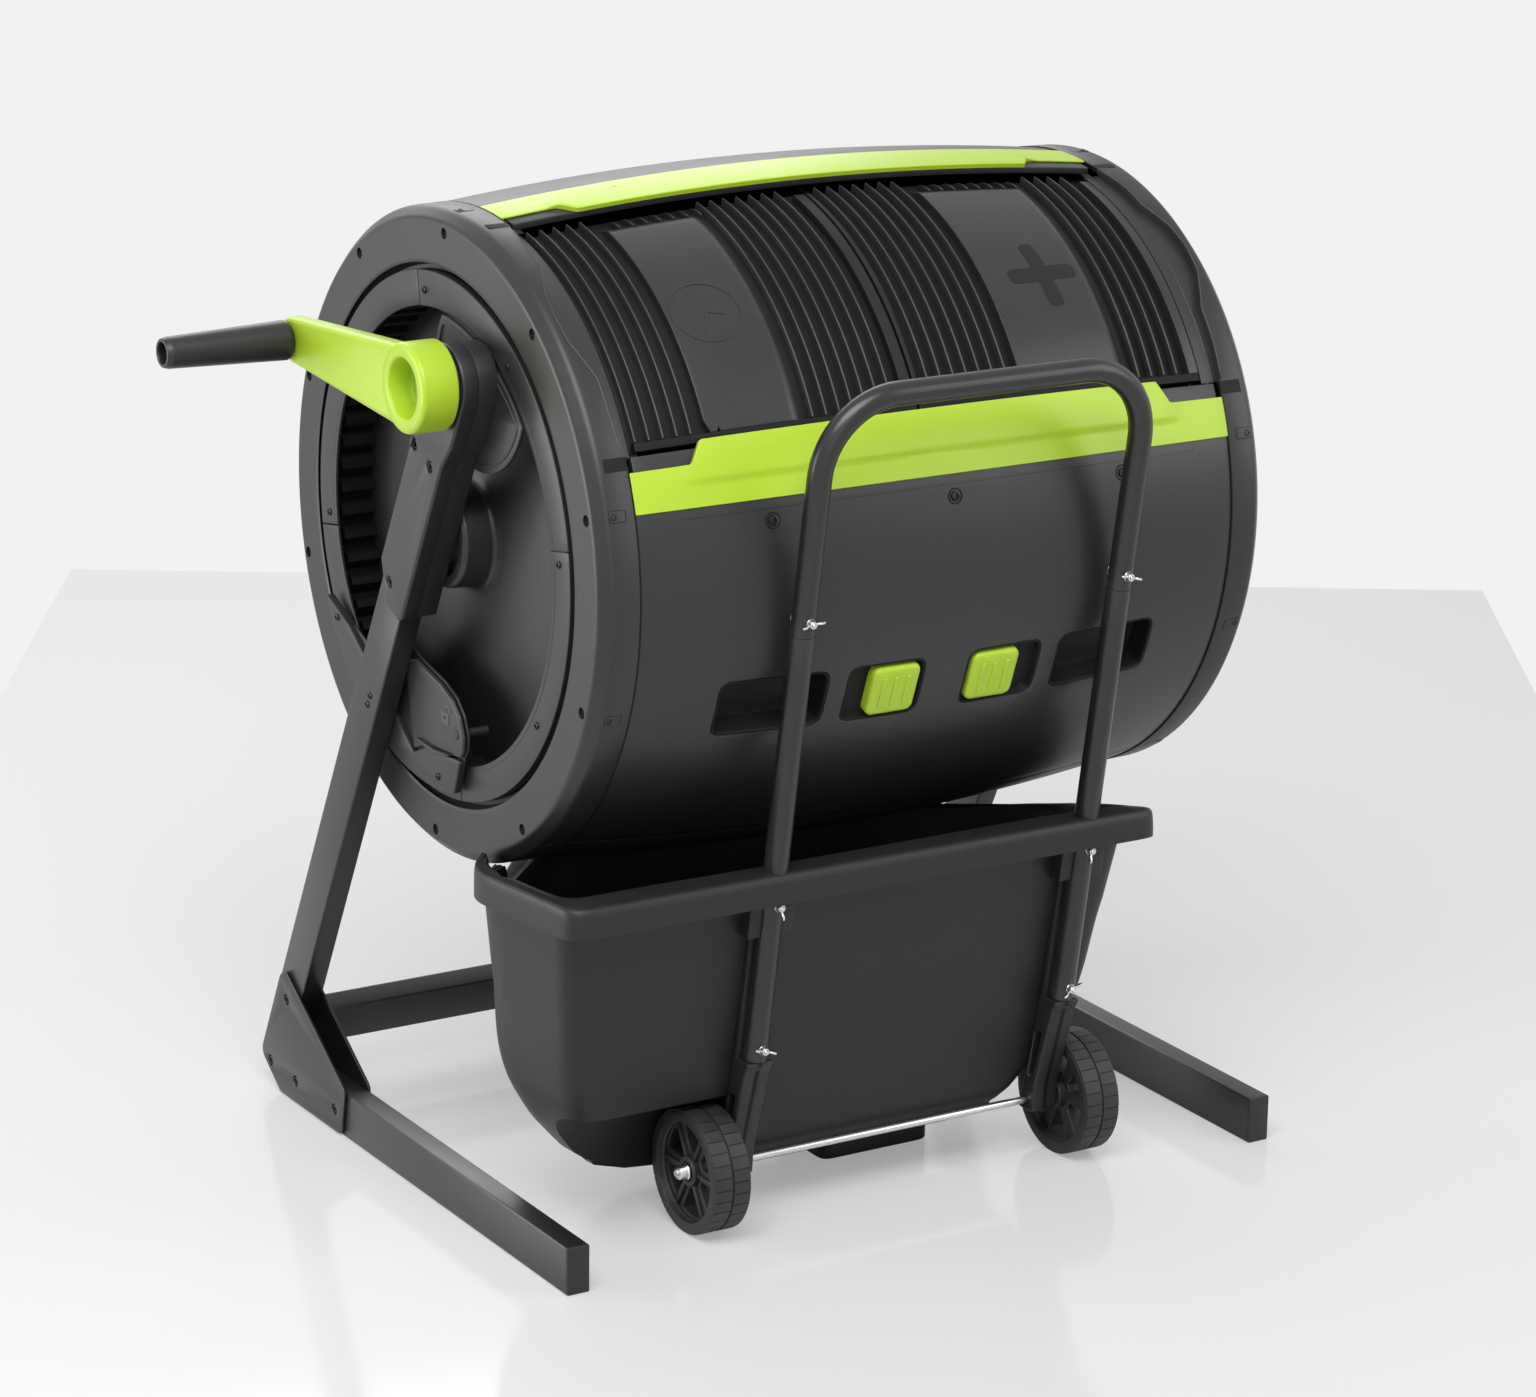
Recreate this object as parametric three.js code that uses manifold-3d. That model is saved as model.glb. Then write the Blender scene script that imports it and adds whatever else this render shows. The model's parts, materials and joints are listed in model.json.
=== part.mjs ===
// Geared two-chamber compost tumbler on a tube stand, with a roll-under collecting cart.
// Millimetres. X runs along the drum axis (crank at -X), -Y is the side where the doors open
// and +Z is up. Angles around the drum are degrees from +Y towards +Z.
import * as THREE from 'three';
import { mergeVertices } from 'three/addons/utils/BufferGeometryUtils.js';
import Module from 'manifold-3d';

const wasm = await Module();
wasm.setup();

const radians = (degrees) => (degrees * Math.PI) / 180;
function polar(radius, degrees) {
  return [radius * Math.cos(radians(degrees)), radius * Math.sin(radians(degrees))];
}

// ---------------------------------------------------------------- driving dimensions

const seat = 0.3;                       // gap between pieces that rest on each other
const running = 0.4;                    // radial gap of a turning fit

// stand
const axisHeight = 686;                 // drum axis above the floor
const tubeDeep = 50;                    // long side of the stand tube
const tubeWide = 25;                    // short side of the stand tube
const tubeWall = 1.5;
const legFront = -335;                  // front end of a leg, its cap included
const legRear = 284;
const capFlange = 2.5;
const capPlug = 18;
const capClearance = 0.4;
const uprightLean = 26.4;               // lean of the uprights from vertical, degrees
const uprightFoot = 740;                // drum axis to the foot end of an upright
const uprightTop = 36;                  // an upright runs this far past the drum axis
const gussetThick = 3;
const gussetTall = 129;                 // foot of the upright to the gusset's top edge
const gussetTop = uprightFoot - gussetTall;
const gussetMargin = 4;                 // gusset overhang beside the upright
const gussetFront = 142;
const gussetBottom = 1;
const crossbarUp = 58;                  // foot of the upright to the crossbar
const crossbarAt = uprightFoot - crossbarUp;

// arm housings
const armWall = 3.2;
const armHalf = 32;                     // half width of an arm beside its upright
const armFoot = -82;                    // lower end of an arm along the upright, from the drum axis
const armLobe = 40;                     // end radius around the crank shaft
const armLobeRight = 36;                // end radius of the arm on the plain side
const guardRadius = 92.5;               // gear guard around the crank shaft
const guardThick = 3.5;

// drum
const bodyHalf = 347;                   // centre plane to the end of the barrel panels
const endCoverDeep = 41.5;              // barrel panels to the flat face of an end cover
const drumHalf = bodyHalf + endCoverDeep;
const armClearance = 1.5;               // end cover to the drum side of an arm
const armInnerFace = drumHalf + armClearance;
const armRoom = 11.5;                   // drum side of an arm to the upright inside it
const stanceHalf = armInnerFace + armRoom + tubeWide;
const midRadius = 351;                  // barrel radius at the centre plane
const endRadius = 331;                  // barrel radius at the ends of the panels
const panelWall = 4;
const panelStart = 164.2;               // lower edge of the door bay
const panelSpan = 72;
const panelGap = 0.35;                  // degrees left between neighbouring panels
const endCoverRadius = 332;
const endCoverWall = 4;
const ringInner = 272;                  // inner edge of the flat end ring
const gearCoverOuter = 268;
const gearCoverInner = 232;
const gearCoverWall = 3.5;
const gearCoverSeam = 80.2;             // first seam of the four gear covers, degrees
const dishInset = 7;                    // end of the panels to the outer side of the end dish
const dishFloor = bodyHalf - dishInset;
const dishWall = 4;
const dishRadius = 262.5;               // inside of the dish's side wall
const hubRadius = 52;
const hubWall = 3.5;
const ringSteps = 32;                   // facets of the end rings

// gear pair
const gearModule = 8;
const ringTeeth = 60;
const pinionTeeth = 10;
const gearFace = 39.5;                  // width of the ring gear
const toothLash = 0.9;                  // play between the teeth at the pitch circle
const crankLean = uprightLean;          // the crank shaft lies on the line of the upright

// axles and crank
const axleRadius = 15;
const axleFlange = 26;
const bushWall = 6.5;
const shaftRadius = 9;
const crankBushWall = 5;
const crankThrow = 250;
const crankHubRadius = 45;
const crankHubDeep = 39.5;
const crankClearance = 5.5;             // arm housing to the back of the crank's hub
const crankFace = stanceHalf + seat + armWall + crankClearance + crankHubDeep;
const crankRecess = 30;
const crankRecessDeep = 27;
const crankArmDeep = 21;
const crankTipRadius = 23;
const gripLength = 138;
const gripBase = 20.5;
const gripTip = 15.2;
const gripSpindleRadius = 6;
const gripMouth = 11;                   // radius of the open end of the grip
const gripMouthDeep = 24;

// doors and vents
const doorOpen = 102.4;                 // upper edge of a closed door, degrees
const doorClose = 153.8;                // lower edge of a closed door, degrees
const doorDrop = 18.5;                  // underside of a door below the barrel surface
const doorWall = 3;
const doorRib = 6.6;                    // height of a rib on a door
const doorSeam = -20;                   // where the two doors meet
const doorGap = 3.2;                    // between the meeting edges
const trackInset = 6;                   // end of the panels to the outer side of a door track
const trackWeb = bodyHalf - trackInset;
const doorEnd = trackWeb - 7;           // centre plane to the outer edge of a door
const trackFlange = 18;
const trackLip = 9.5;                    // reach of a track's upper flange over its door
const trackWall = 3;
const trackClearance = 1.5;
const dividerHalf = 2.5;
const trackStart = 46;                  // degrees where the door tracks end behind the bay
const stripProud = 1.6;                 // grip strips above the barrel surface
const stripWall = 3.2;
const stripLipHalf = 270;
const pocketTurn = 200;                 // middle of the row of pockets, degrees
const pocketTall = 60;
const handPocket = [135, 256];          // hand hold, from the centre plane
const ventPocket = [25, 114];           // vent pocket, from the centre plane
const handPocketDeep = 26;
const ventPocketDeep = 10;
const ventKnobLong = 61;
const ventKnobProud = 2.5;

// brake on the crank side
const lockOuter = 258;                  // lower edge of the brake, from the drum axis
const lockInner = 135;
const lockSpread = 38;                  // half angle of the brake's lower edge
const lockBase = 3;
const lockWall = 9;
const lockSwing = 18;                   // travel of the lever, degrees
const lockPivot = polar(198, 253);
const lockPinRadius = 5;
const lockBite = 5;                     // reach of the pawl between two teeth

// cart
const tubCentre = -78;                  // middle of the tub along X; wheels and handle sit on x = 0
const rimHeight = 397;
const rimClearance = 16;                // drum to the rim that passes under it
const rimHalf = 346;
const rimAhead = 17;                    // handle centre to the front edge of the rim
const rimBack = 80;
const rimBow = 14;                       // how far the middle of each end stands out
const rimSkirt = 31;
const rimFlange = 24;                   // rim edge to the tub wall, front and back
const endFlange = 11;                   // rim edge to the tub wall at the ends
const tubWall = 3.5;
const tubBehind = 2.5;                  // handle tube to the front wall of the tub
const clipHalf = 26;                    // half width of the tub's block behind a handle tube
const clipLow = 326;
const tubFloor = 45;
const handleHalf = 186;
const handleRadius = 12.6;
const handleLean = 0.165;               // handle offset towards -Y for each millimetre of height
const handleClearance = 5.6;            // barrel to a handle tube at the height of the drum axis
const handleAtAxis = -(midRadius + handleClearance + handleRadius);
const handleTop = 885;
const handleBend = 78;
const handleJoint = 648;
const handleFoot = 190;
const handleWall = 1.5;
const spigotLong = 40;
const boltAbove = 14;                   // handle joint to the middle of its wing bolt
const boltRadius = 3;
const boltSeat = 1.8;
const postHalf = 15;
const wheelRadius = 65;
const wheelWide = 42;
const wheelGap = 3;                     // post to the wheel beside it
const wheelInner = handleHalf + postHalf + wheelGap;
const wheelAxisY = -250;
const rodRadius = 4;
const archGap = 12;                     // wheel to wheel arch

// ---------------------------------------------------------------- small helpers


// The barrel bulges in the middle. Its radius is straight between stations along X.
const stationStep = bodyHalf / 4;
const bulge = (x) => midRadius - (midRadius - endRadius) * (x / bodyHalf) ** 2;
function barrel(x) {
  const before = Math.min(3, Math.floor(Math.abs(x) / stationStep)) * stationStep;
  const share = (Math.abs(x) - before) / stationStep;
  return bulge(before) * (1 - share) + bulge(before + stationStep) * share;
}
function stations(x0, x1) {
  const every = [-3, -2, -1, 0, 1, 2, 3].map((k) => k * stationStep);
  const inner = every.filter((x) => x > x0 + 1 && x < x1 - 1);
  return [x0, ...inner, x1];
}

const outside = (radius, sides) => radius / Math.cos(Math.PI / sides);
const lean = radians(uprightLean);

// A point of the YZ plane given along and across an upright, from the drum axis.
const alongUpright = (up, across) => [
  across * Math.cos(lean) - up * Math.sin(lean),
  up * Math.cos(lean) + across * Math.sin(lean),
];

function signedVolume(geometry) {
  const place = geometry.getAttribute('position');
  const index = geometry.index.array;
  const [a, b, c] = [new THREE.Vector3(), new THREE.Vector3(), new THREE.Vector3()];
  let total = 0;
  for (let i = 0; i < index.length; i += 3) {
    a.fromBufferAttribute(place, index[i]);
    b.fromBufferAttribute(place, index[i + 1]);
    c.fromBufferAttribute(place, index[i + 2]);
    total += a.dot(b.cross(c)) / 6;
  }
  return total;
}

// Merges shared corners, drops collapsed triangles and turns the faces outwards.
function weld(geometry) {
  geometry.deleteAttribute('normal');
  geometry.deleteAttribute('uv');
  const welded = mergeVertices(geometry, 1e-4);
  const source = welded.index.array;
  const kept = [];
  for (let i = 0; i < source.length; i += 3) {
    const [a, b, c] = source.slice(i, i + 3);
    if (a !== b && b !== c && c !== a) kept.push(a, b, c);
  }
  welded.setIndex(kept);
  if (signedVolume(welded) < 0) welded.setIndex(kept.reverse());
  return welded;
}

function solid(geometry) {
  const welded = weld(geometry);
  return new wasm.Manifold(new wasm.Mesh({
    numProp: 3,
    vertProperties: new Float32Array(welded.getAttribute('position').array),
    triVerts: new Uint32Array(welded.index.array),
  }));
}

function geometryOf(manifold) {
  const mesh = manifold.getMesh();
  const geometry = new THREE.BufferGeometry();
  geometry.setAttribute('position', new THREE.Float32BufferAttribute(mesh.vertProperties, 3));
  geometry.setIndex([...mesh.triVerts]);
  return geometry;
}

function cut(base, ...tools) {
  return geometryOf(tools.reduce((left, tool) => left.subtract(solid(tool)), solid(base)));
}
function join(base, ...more) {
  return geometryOf(more.reduce((left, extra) => left.add(solid(extra)), solid(base)));
}
const common = (base, other) => geometryOf(solid(base).intersect(solid(other)));

// Keeps the largest closed surface, which fills the slivers left where two curved walls meet.
function filled(geometry) {
  const bodies = solid(geometry).decompose();
  return geometryOf(bodies.reduce((large, body) => (body.volume() > large.volume() ? body : large)));
}

function mirrorX(geometry) {
  return weld(geometry.clone().scale(-1, 1, 1));
}

const axesTo = (x, y, z) => new THREE.Matrix4().makeBasis(x, y, z);
const unitX = new THREE.Vector3(1, 0, 0);
const unitY = new THREE.Vector3(0, 1, 0);
const unitZ = new THREE.Vector3(0, 0, 1);

function outline(points, holes = []) {
  const shape = new THREE.Shape(points.map(([a, b]) => new THREE.Vector2(a, b)));
  for (const hole of holes) shape.holes.push(new THREE.Path(hole.map(([a, b]) => new THREE.Vector2(a, b))));
  return shape;
}

// A plate with a YZ outline, from x0 to x1.
function plateX(points, x0, x1, holes = []) {
  const shape = outline(points, holes);
  const geometry = new THREE.ExtrudeGeometry(shape, { depth: x1 - x0, bevelEnabled: false });
  return weld(geometry.applyMatrix4(axesTo(unitY, unitZ, unitX)).translate(x0, 0, 0));
}

const circle = (radius, sides, centre = [0, 0], phase = 0) => Array.from({ length: sides }, (_, i) => {
  const [a, b] = polar(radius, phase + (360 * i) / sides);
  return [centre[0] + a, centre[1] + b];
});

const arc = (radius, from, to, steps, centre = [0, 0]) => Array.from({ length: steps + 1 }, (_, i) => {
  const [a, b] = polar(radius, from + ((to - from) * i) / steps);
  return [centre[0] + a, centre[1] + b];
});

function box(x0, x1, y0, y1, z0, z1) {
  return new THREE.BoxGeometry(x1 - x0, y1 - y0, z1 - z0)
    .translate((x0 + x1) / 2, (y0 + y1) / 2, (z0 + z1) / 2);
}

const rodX = (radius, x0, x1, sides = 24, centre = [0, 0]) => plateX(circle(radius, sides, centre), x0, x1);

// A body turned about the drum axis from a closed profile of [x, radius] points.
const turnPhase = gearCoverSeam % (360 / ringSteps);
function turned(profile, steps = ringSteps, phase = turnPhase) {
  const points = [...profile, profile[0]].map(([x, radius]) => new THREE.Vector2(radius, x));
  const lathe = new THREE.LatheGeometry(points, steps, radians(phase), 2 * Math.PI);
  return weld(lathe.applyMatrix4(axesTo(unitZ, unitX, unitY)));
}

// Triangles that fill a flat outline and run the same way round as the outline does.
function fill(points) {
  const flat = points.map(([a, b]) => new THREE.Vector2(a, b));
  const faces = THREE.ShapeUtils.triangulateShape(flat, []);
  return THREE.ShapeUtils.isClockWise(flat) ? faces.map(([a, b, c]) => [c, b, a]) : faces;
}

// A closed solid lofted through rings of equally many points, each a list of [x, y, z].
// Caps are the triangles of the two end faces; without them the last ring joins the first.
function loft(rings, caps = []) {
  const count = rings[0].length;
  const index = [];
  const spans = caps.length ? rings.length - 1 : rings.length;
  for (let ring = 0; ring < spans; ring += 1) {
    const [here, next] = [ring * count, ((ring + 1) % rings.length) * count];
    for (let i = 0; i < count; i += 1) {
      const j = (i + 1) % count;
      index.push(here + i, here + j, next + j, here + i, next + j, next + i);
    }
  }
  const end = (rings.length - 1) * count;
  for (const [a, b, c] of caps) index.push(c, b, a, end + a, end + b, end + c);
  const geometry = new THREE.BufferGeometry();
  geometry.setAttribute('position', new THREE.Float32BufferAttribute(rings.flat(2), 3));
  geometry.setIndex(index);
  return weld(geometry);
}

// A bar that sweeps a section of [x, radius] points around the drum axis between two angles.
function swept(section, from, to, steps) {
  const rings = Array.from({ length: steps + 1 }, (_, i) => {
    const angle = from + ((to - from) * i) / steps;
    return section.map(([x, radius]) => [x, ...polar(radius, angle)]);
  });
  return loft(rings, fill(section));
}

// The section of a curved sheet that follows the barrel, between two offsets from its surface.
function barrelSection(x0, x1, high, low) {
  const at = stations(x0, x1);
  return [...at.map((x) => [x, barrel(x) + high]), ...at.reverse().map((x) => [x, barrel(x) + low])];
}

// ---------------------------------------------------------------- materials

function finish(color, roughness, metalness = 0) {
  return new THREE.MeshStandardMaterial({ color, roughness, metalness });
}
const steel = finish(0x1c1d1f, 0.42, 0.3);
const shell = finish(0x1f2022, 0.5);
const innerPlastic = finish(0x17181a, 0.6);
const lime = finish(0xa6cf1f, 0.38);
const zinc = finish(0xb9bcc0, 0.3, 1);
const tyre = finish(0x161617, 0.75);

const machine = new THREE.Group();
const drumFrame = new THREE.Group();
drumFrame.position.z = axisHeight;
machine.add(drumFrame);

function add(name, geometry, material, parent = machine) {
  const mesh = new THREE.Mesh(weld(geometry.clone()), material);
  mesh.name = name;
  parent.add(mesh);
  return mesh;
}

// Adds a piece on the crank side and its mirror image on the other side.
function addPair(name, geometry, material, parent = machine) {
  add(`${name}_left`, geometry, material, parent);
  add(`${name}_right`, mirrorX(geometry), material, parent);
}

// ---------------------------------------------------------------- stand

const outerFace = -stanceHalf;
const innerFace = outerFace + tubeWide;

function rectangle(a0, a1, b0, b1) {
  return [[a0, b0], [a1, b0], [a1, b1], [a0, b1]];
}

// A straight square-cut tube along its own Z, its short side along X.
function standTube(long) {
  const [a, b] = [tubeWide / 2, tubeDeep / 2];
  const shape = outline(
    rectangle(-a, a, -b, b),
    [rectangle(-a + tubeWall, a - tubeWall, -b + tubeWall, b - tubeWall)],
  );
  return new THREE.ExtrudeGeometry(shape, { depth: long, bevelEnabled: false });
}

const layDown = axesTo(unitX, unitZ.clone().negate(), unitY);
const legStart = legFront + capFlange + seat;
const legMiddle = outerFace + tubeWide / 2;
const leg = standTube(legRear - legStart)
  .applyMatrix4(layDown)
  .translate(legMiddle, legStart, tubeDeep / 2);
addPair('leg', leg, steel);

const plugSide = tubeWide / 2 - tubeWall - capClearance;
const plugTall = tubeDeep / 2 - tubeWall - capClearance;
const legCap = join(
  box(outerFace, innerFace, legFront, legFront + capFlange, 0, tubeDeep),
  box(legMiddle - plugSide, legMiddle + plugSide, legFront + capFlange / 2, legFront + capPlug,
    tubeDeep / 2 - plugTall, tubeDeep / 2 + plugTall),
);
addPair('leg_cap', legCap, innerPlastic);

const leanOver = axesTo(
  unitX,
  new THREE.Vector3(0, Math.cos(lean), Math.sin(lean)),
  new THREE.Vector3(0, -Math.sin(lean), Math.cos(lean)),
);
const upright = cut(
  standTube(uprightFoot + uprightTop).translate(0, 0, -uprightFoot).applyMatrix4(leanOver)
    .translate(legMiddle, 0, axisHeight),
  rodX(outside(axleRadius + seat, 24), legMiddle, innerFace + 1, 24, [0, axisHeight]),
);
addPair('upright', upright, steel);

const gussetHalf = tubeDeep / 2 + gussetMargin;
const fromAxis = ([y, z]) => [y, axisHeight + z];
const gussetOutline = [
  fromAxis(alongUpright(-gussetTop, gussetHalf - 6)),
  fromAxis(alongUpright(-gussetTop, -gussetHalf)),
  [gussetFront, tubeDeep + 2],
  [gussetFront, gussetBottom + 6],
  [gussetFront + 6, gussetBottom],
  [legRear + 18, gussetBottom],
  fromAxis(alongUpright(-uprightFoot, gussetHalf)),
  fromAxis(alongUpright(-gussetTop - 8, gussetHalf)),
];
addPair('gusset_outer', plateX(gussetOutline, outerFace - seat - gussetThick, outerFace - seat), steel);
addPair('gusset_inner', plateX(gussetOutline, innerFace + seat, innerFace + seat + gussetThick), steel);

const crossbarHalf = -(innerFace + seat + gussetThick + seat);
const crossbarTurn = new THREE.Matrix4().multiplyMatrices(
  leanOver,
  axesTo(unitY, unitZ, unitX),
);
const crossbar = standTube(2 * crossbarHalf).translate(0, 0, -crossbarHalf).applyMatrix4(crossbarTurn);
const [crossbarY, crossbarZ] = alongUpright(-crossbarAt, 0);
add('rear_crossbar', crossbar.translate(0, crossbarY, axisHeight + crossbarZ), steel);

// ---------------------------------------------------------------- gear pair

const ringPitch = (gearModule * ringTeeth) / 2;
const pinionPitch = (gearModule * pinionTeeth) / 2;
const crankOffset = ringPitch - pinionPitch;
const crankCentre = alongUpright(crankOffset, 0);
const crankAngle = 90 + crankLean;

// Half angle of a tooth at a radius, for an involute tooth of the given pitch radius and thickness.
const pressure = radians(22);
const involute = (angle) => Math.tan(angle) - angle;
function toothHalf(radius, pitch, halfAtPitch) {
  const base = pitch * Math.cos(pressure);
  const here = Math.acos(Math.min(1, base / Math.max(radius, base)));
  return halfAtPitch + ((involute(pressure) - involute(here)) * 180) / Math.PI;
}

// Corner points of a ring of teeth. Each level is a radius; the half angles mirror about each tooth.
function toothed(teeth, levels, pitch, halfAtPitch, phase) {
  const points = [];
  for (let tooth = 0; tooth < teeth; tooth += 1) {
    const middle = phase + (360 * tooth) / teeth;
    const rising = levels.map((radius) => polar(radius, middle - toothHalf(radius, pitch, halfAtPitch)));
    const falling = [...levels].reverse().map((r) => polar(r, middle + toothHalf(r, pitch, halfAtPitch)));
    points.push(...rising, ...falling);
  }
  return points;
}

const lashAngle = (pitch) => ((toothLash / 4 / pitch) * 180) / Math.PI;
const pinionTip = pinionPitch + gearModule * 0.85;
const pinionRoot = pinionPitch - gearModule * 1.1;
const pinionOutline = toothed(
  pinionTeeth,
  [pinionRoot, pinionPitch, pinionTip],
  pinionPitch,
  90 / pinionTeeth - lashAngle(pinionPitch),
  crankAngle,
);
const gearTip = gearCoverInner + 2.5;
const gearRoot = ringPitch + gearModule * 1.1;
const gearSpaces = toothed(
  ringTeeth,
  [gearTip, gearRoot],
  ringPitch,
  90 / ringTeeth + lashAngle(ringPitch),
  crankAngle,
);

const gearFront = -(dishFloor + seat + gearFace);
const ringGear = plateX(
  circle(dishRadius - seat, ringSteps, [0, 0], turnPhase),
  gearFront,
  gearFront + gearFace,
  [gearSpaces],
);
add('ring_gear', ringGear, innerPlastic, drumFrame);

// ---------------------------------------------------------------- arm housings

const armOuterFace = outerFace - seat - armWall;
const armSplit = legMiddle;

function armOutline(top, lobe, inset) {
  const half = armHalf - inset;
  const foot = armFoot + inset;
  const shoulder = top - 1.5 * lobe;
  const round = arc(lobe - inset, 0, 180, 10).map(([across, up]) => alongUpright(top + up, across));
  const flank = [[foot, half]];
  if (top > lobe) {
    flank.push([shoulder - 20, half], [shoulder + 10, lobe - inset]);
  }
  return [
    ...flank.map(([up, across]) => alongUpright(up, across)),
    ...round,
    ...[...flank].reverse().map(([up, across]) => alongUpright(up, -across)),
  ];
}

const crankBushRadius = shaftRadius + running + crankBushWall;
const crankBore = circle(outside(crankBushRadius + seat, 20), 20, crankCentre);
const crankBoss = crankBushRadius + seat + 4;

// A tray-shaped half of an arm: a face plate with a wall around it.
function armHalfShell(top, lobe, face, plate, rim, bores = []) {
  const [x0, x1] = [Math.min(face, plate), Math.max(face, plate)];
  const wall = plateX(armOutline(top, lobe, 0), Math.min(plate, rim), Math.max(plate, rim), [
    armOutline(top, lobe, armWall),
  ]);
  return join(plateX(armOutline(top, lobe, 0), x0, x1, bores), wall);
}

// The foot wall of each half is notched where the upright enters.
const notchSide = tubeWide / 2 + seat;
const notchDeep = tubeDeep / 2 + seat;
const notchBlock = box(-notchSide, notchSide, -notchDeep, notchDeep, armFoot - 5, armFoot + armWall + 2)
  .applyMatrix4(leanOver).translate(legMiddle, 0, 0);

const bossOuter = plateX(
  circle(crankBoss, 20, crankCentre),
  armOuterFace + armWall / 2,
  armSplit - seat,
  [crankBore],
);
const armOuterLeft = cut(
  join(
    armHalfShell(
      crankOffset,
      armLobe,
      armOuterFace,
      armOuterFace + armWall,
      armSplit - seat / 2,
      [crankBore],
    ),
    bossOuter,
  ),
  notchBlock,
);
add('arm_outer_left', armOuterLeft, shell, drumFrame);

const guardReach = gearCoverInner - 2.5;
const guard = common(
  plateX(circle(guardRadius, 30, crankCentre), -armInnerFace - 1, -armInnerFace + guardThick),
  plateX(
    circle(guardReach, ringSteps, [0, 0], turnPhase),
    -armInnerFace - 2,
    -armInnerFace + guardThick + 1,
  ),
);
const axlePass = circle(axleFlange + 2, 24);
const padUp = -60;
const padHalf = 3;
const tubePad = box(
  innerFace + seat - legMiddle,
  -armInnerFace - armWall / 2 - legMiddle,
  -armHalf + 1,
  armHalf - 1,
  padUp - padHalf,
  padUp + padHalf,
).applyMatrix4(leanOver).translate(legMiddle, 0, 0);
const bossInner = plateX(
  circle(crankBoss, 20, crankCentre),
  armSplit + seat,
  -armInnerFace - armWall / 2,
  [crankBore],
);
const armInnerLeft = cut(
  join(
    armHalfShell(
      crankOffset,
      armLobe,
      -armInnerFace,
      -armInnerFace - armWall,
      armSplit + seat / 2,
      [axlePass],
    ),
    bossInner,
    guard,
    tubePad,
  ),
  notchBlock,
  plateX(crankBore, armSplit, -armInnerFace + guardThick + 2),
);
add('arm_inner_left', armInnerLeft, shell, drumFrame);

const armRight = cut(
  join(
    armHalfShell(0, armLobeRight, armOuterFace, armOuterFace + armWall, -armInnerFace - 1),
    plateX(armOutline(0, armLobeRight, 0), -armInnerFace - armWall, -armInnerFace, [axlePass]),
  ),
  box(-notchSide, notchSide, -notchDeep, notchDeep, armFoot - 5, uprightTop + seat)
    .applyMatrix4(leanOver).translate(legMiddle, 0, 0),
);
add('arm_housing_right', mirrorX(armRight), shell, drumFrame);

// ---------------------------------------------------------------- axles and bushes

const axleInner = -dishFloor - 8;
const axle = join(
  rodX(axleRadius, innerFace - 8, axleInner),
  rodX(axleFlange, innerFace + seat, innerFace + seat + 4),
);
addPair('axle', axle, zinc, drumFrame);

const hubFace = -armInnerFace + 2;
const hubBushInner = axleRadius + running;
const hubBushOuter = hubBushInner + bushWall;
const hubBush = plateX(
  circle(hubBushOuter, 24),
  hubFace,
  -dishFloor - seat,
  [circle(outside(hubBushInner, 24), 24)],
);
addPair('hub_bush', hubBush, innerPlastic, drumFrame);

const crankBushFlange = join(
  plateX(circle(crankBushRadius, 20, crankCentre), armOuterFace - seat, -armInnerFace + guardThick, [
    circle(outside(shaftRadius + running, 20), 20, crankCentre),
  ]),
  plateX(circle(crankBushRadius + 8, 20, crankCentre), armOuterFace - seat - 3.5, armOuterFace - seat, [
    circle(outside(shaftRadius + running, 20), 20, crankCentre),
  ]),
);
add('crank_bush', crankBushFlange, innerPlastic, drumFrame);

// ---------------------------------------------------------------- drum ends

const shoulder = endCoverRadius - 10;
const coverLip = gearFront - 0.5;
const lipInner = dishRadius + dishWall + 0.8;
const endCover = turned([
  [-drumHalf, ringInner],
  [-drumHalf, shoulder],
  [-drumHalf + 3.5, endCoverRadius - 3],
  [-drumHalf + 9, endCoverRadius - 1.2],
  [-bodyHalf - seat, endCoverRadius],
  [-bodyHalf - seat, endCoverRadius - endCoverWall],
  [-drumHalf + 8, endCoverRadius - endCoverWall - 3],
  [-drumHalf + endCoverWall, shoulder - 4],
  [-drumHalf + endCoverWall, ringInner + endCoverWall],
  [coverLip + 8, ringInner + endCoverWall],
  [coverLip + 8, lipInner],
  [coverLip + 4, lipInner],
  [coverLip + 4, ringInner],
]);
addPair('end_cover', endCover, shell, drumFrame);

const dishFlange = coverLip + 8 + seat;
const hubInner = hubBushOuter + seat;
const dish = turned([
  [-dishFloor, hubInner + hubWall],
  [hubFace, hubInner + hubWall],
  [hubFace, hubInner],
  [-dishFloor, hubInner],
  [-dishFloor, 0.01],
  [-dishFloor + dishWall, 0.01],
  [-dishFloor + dishWall, dishRadius + dishWall],
  [dishFlange + dishWall, dishRadius + dishWall],
  [dishFlange + dishWall, ringInner + 3],
  [dishFlange, ringInner + 3],
  [dishFlange, dishRadius + dishWall],
  [gearFront, dishRadius + dishWall],
  [gearFront, dishRadius],
  [-dishFloor, dishRadius],
  [-dishFloor, hubRadius],
  [hubFace, hubRadius],
  [hubFace, hubRadius - hubWall],
  [-dishFloor, hubRadius - hubWall],
]);
addPair('end_dish', dish, shell, drumFrame);

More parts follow.
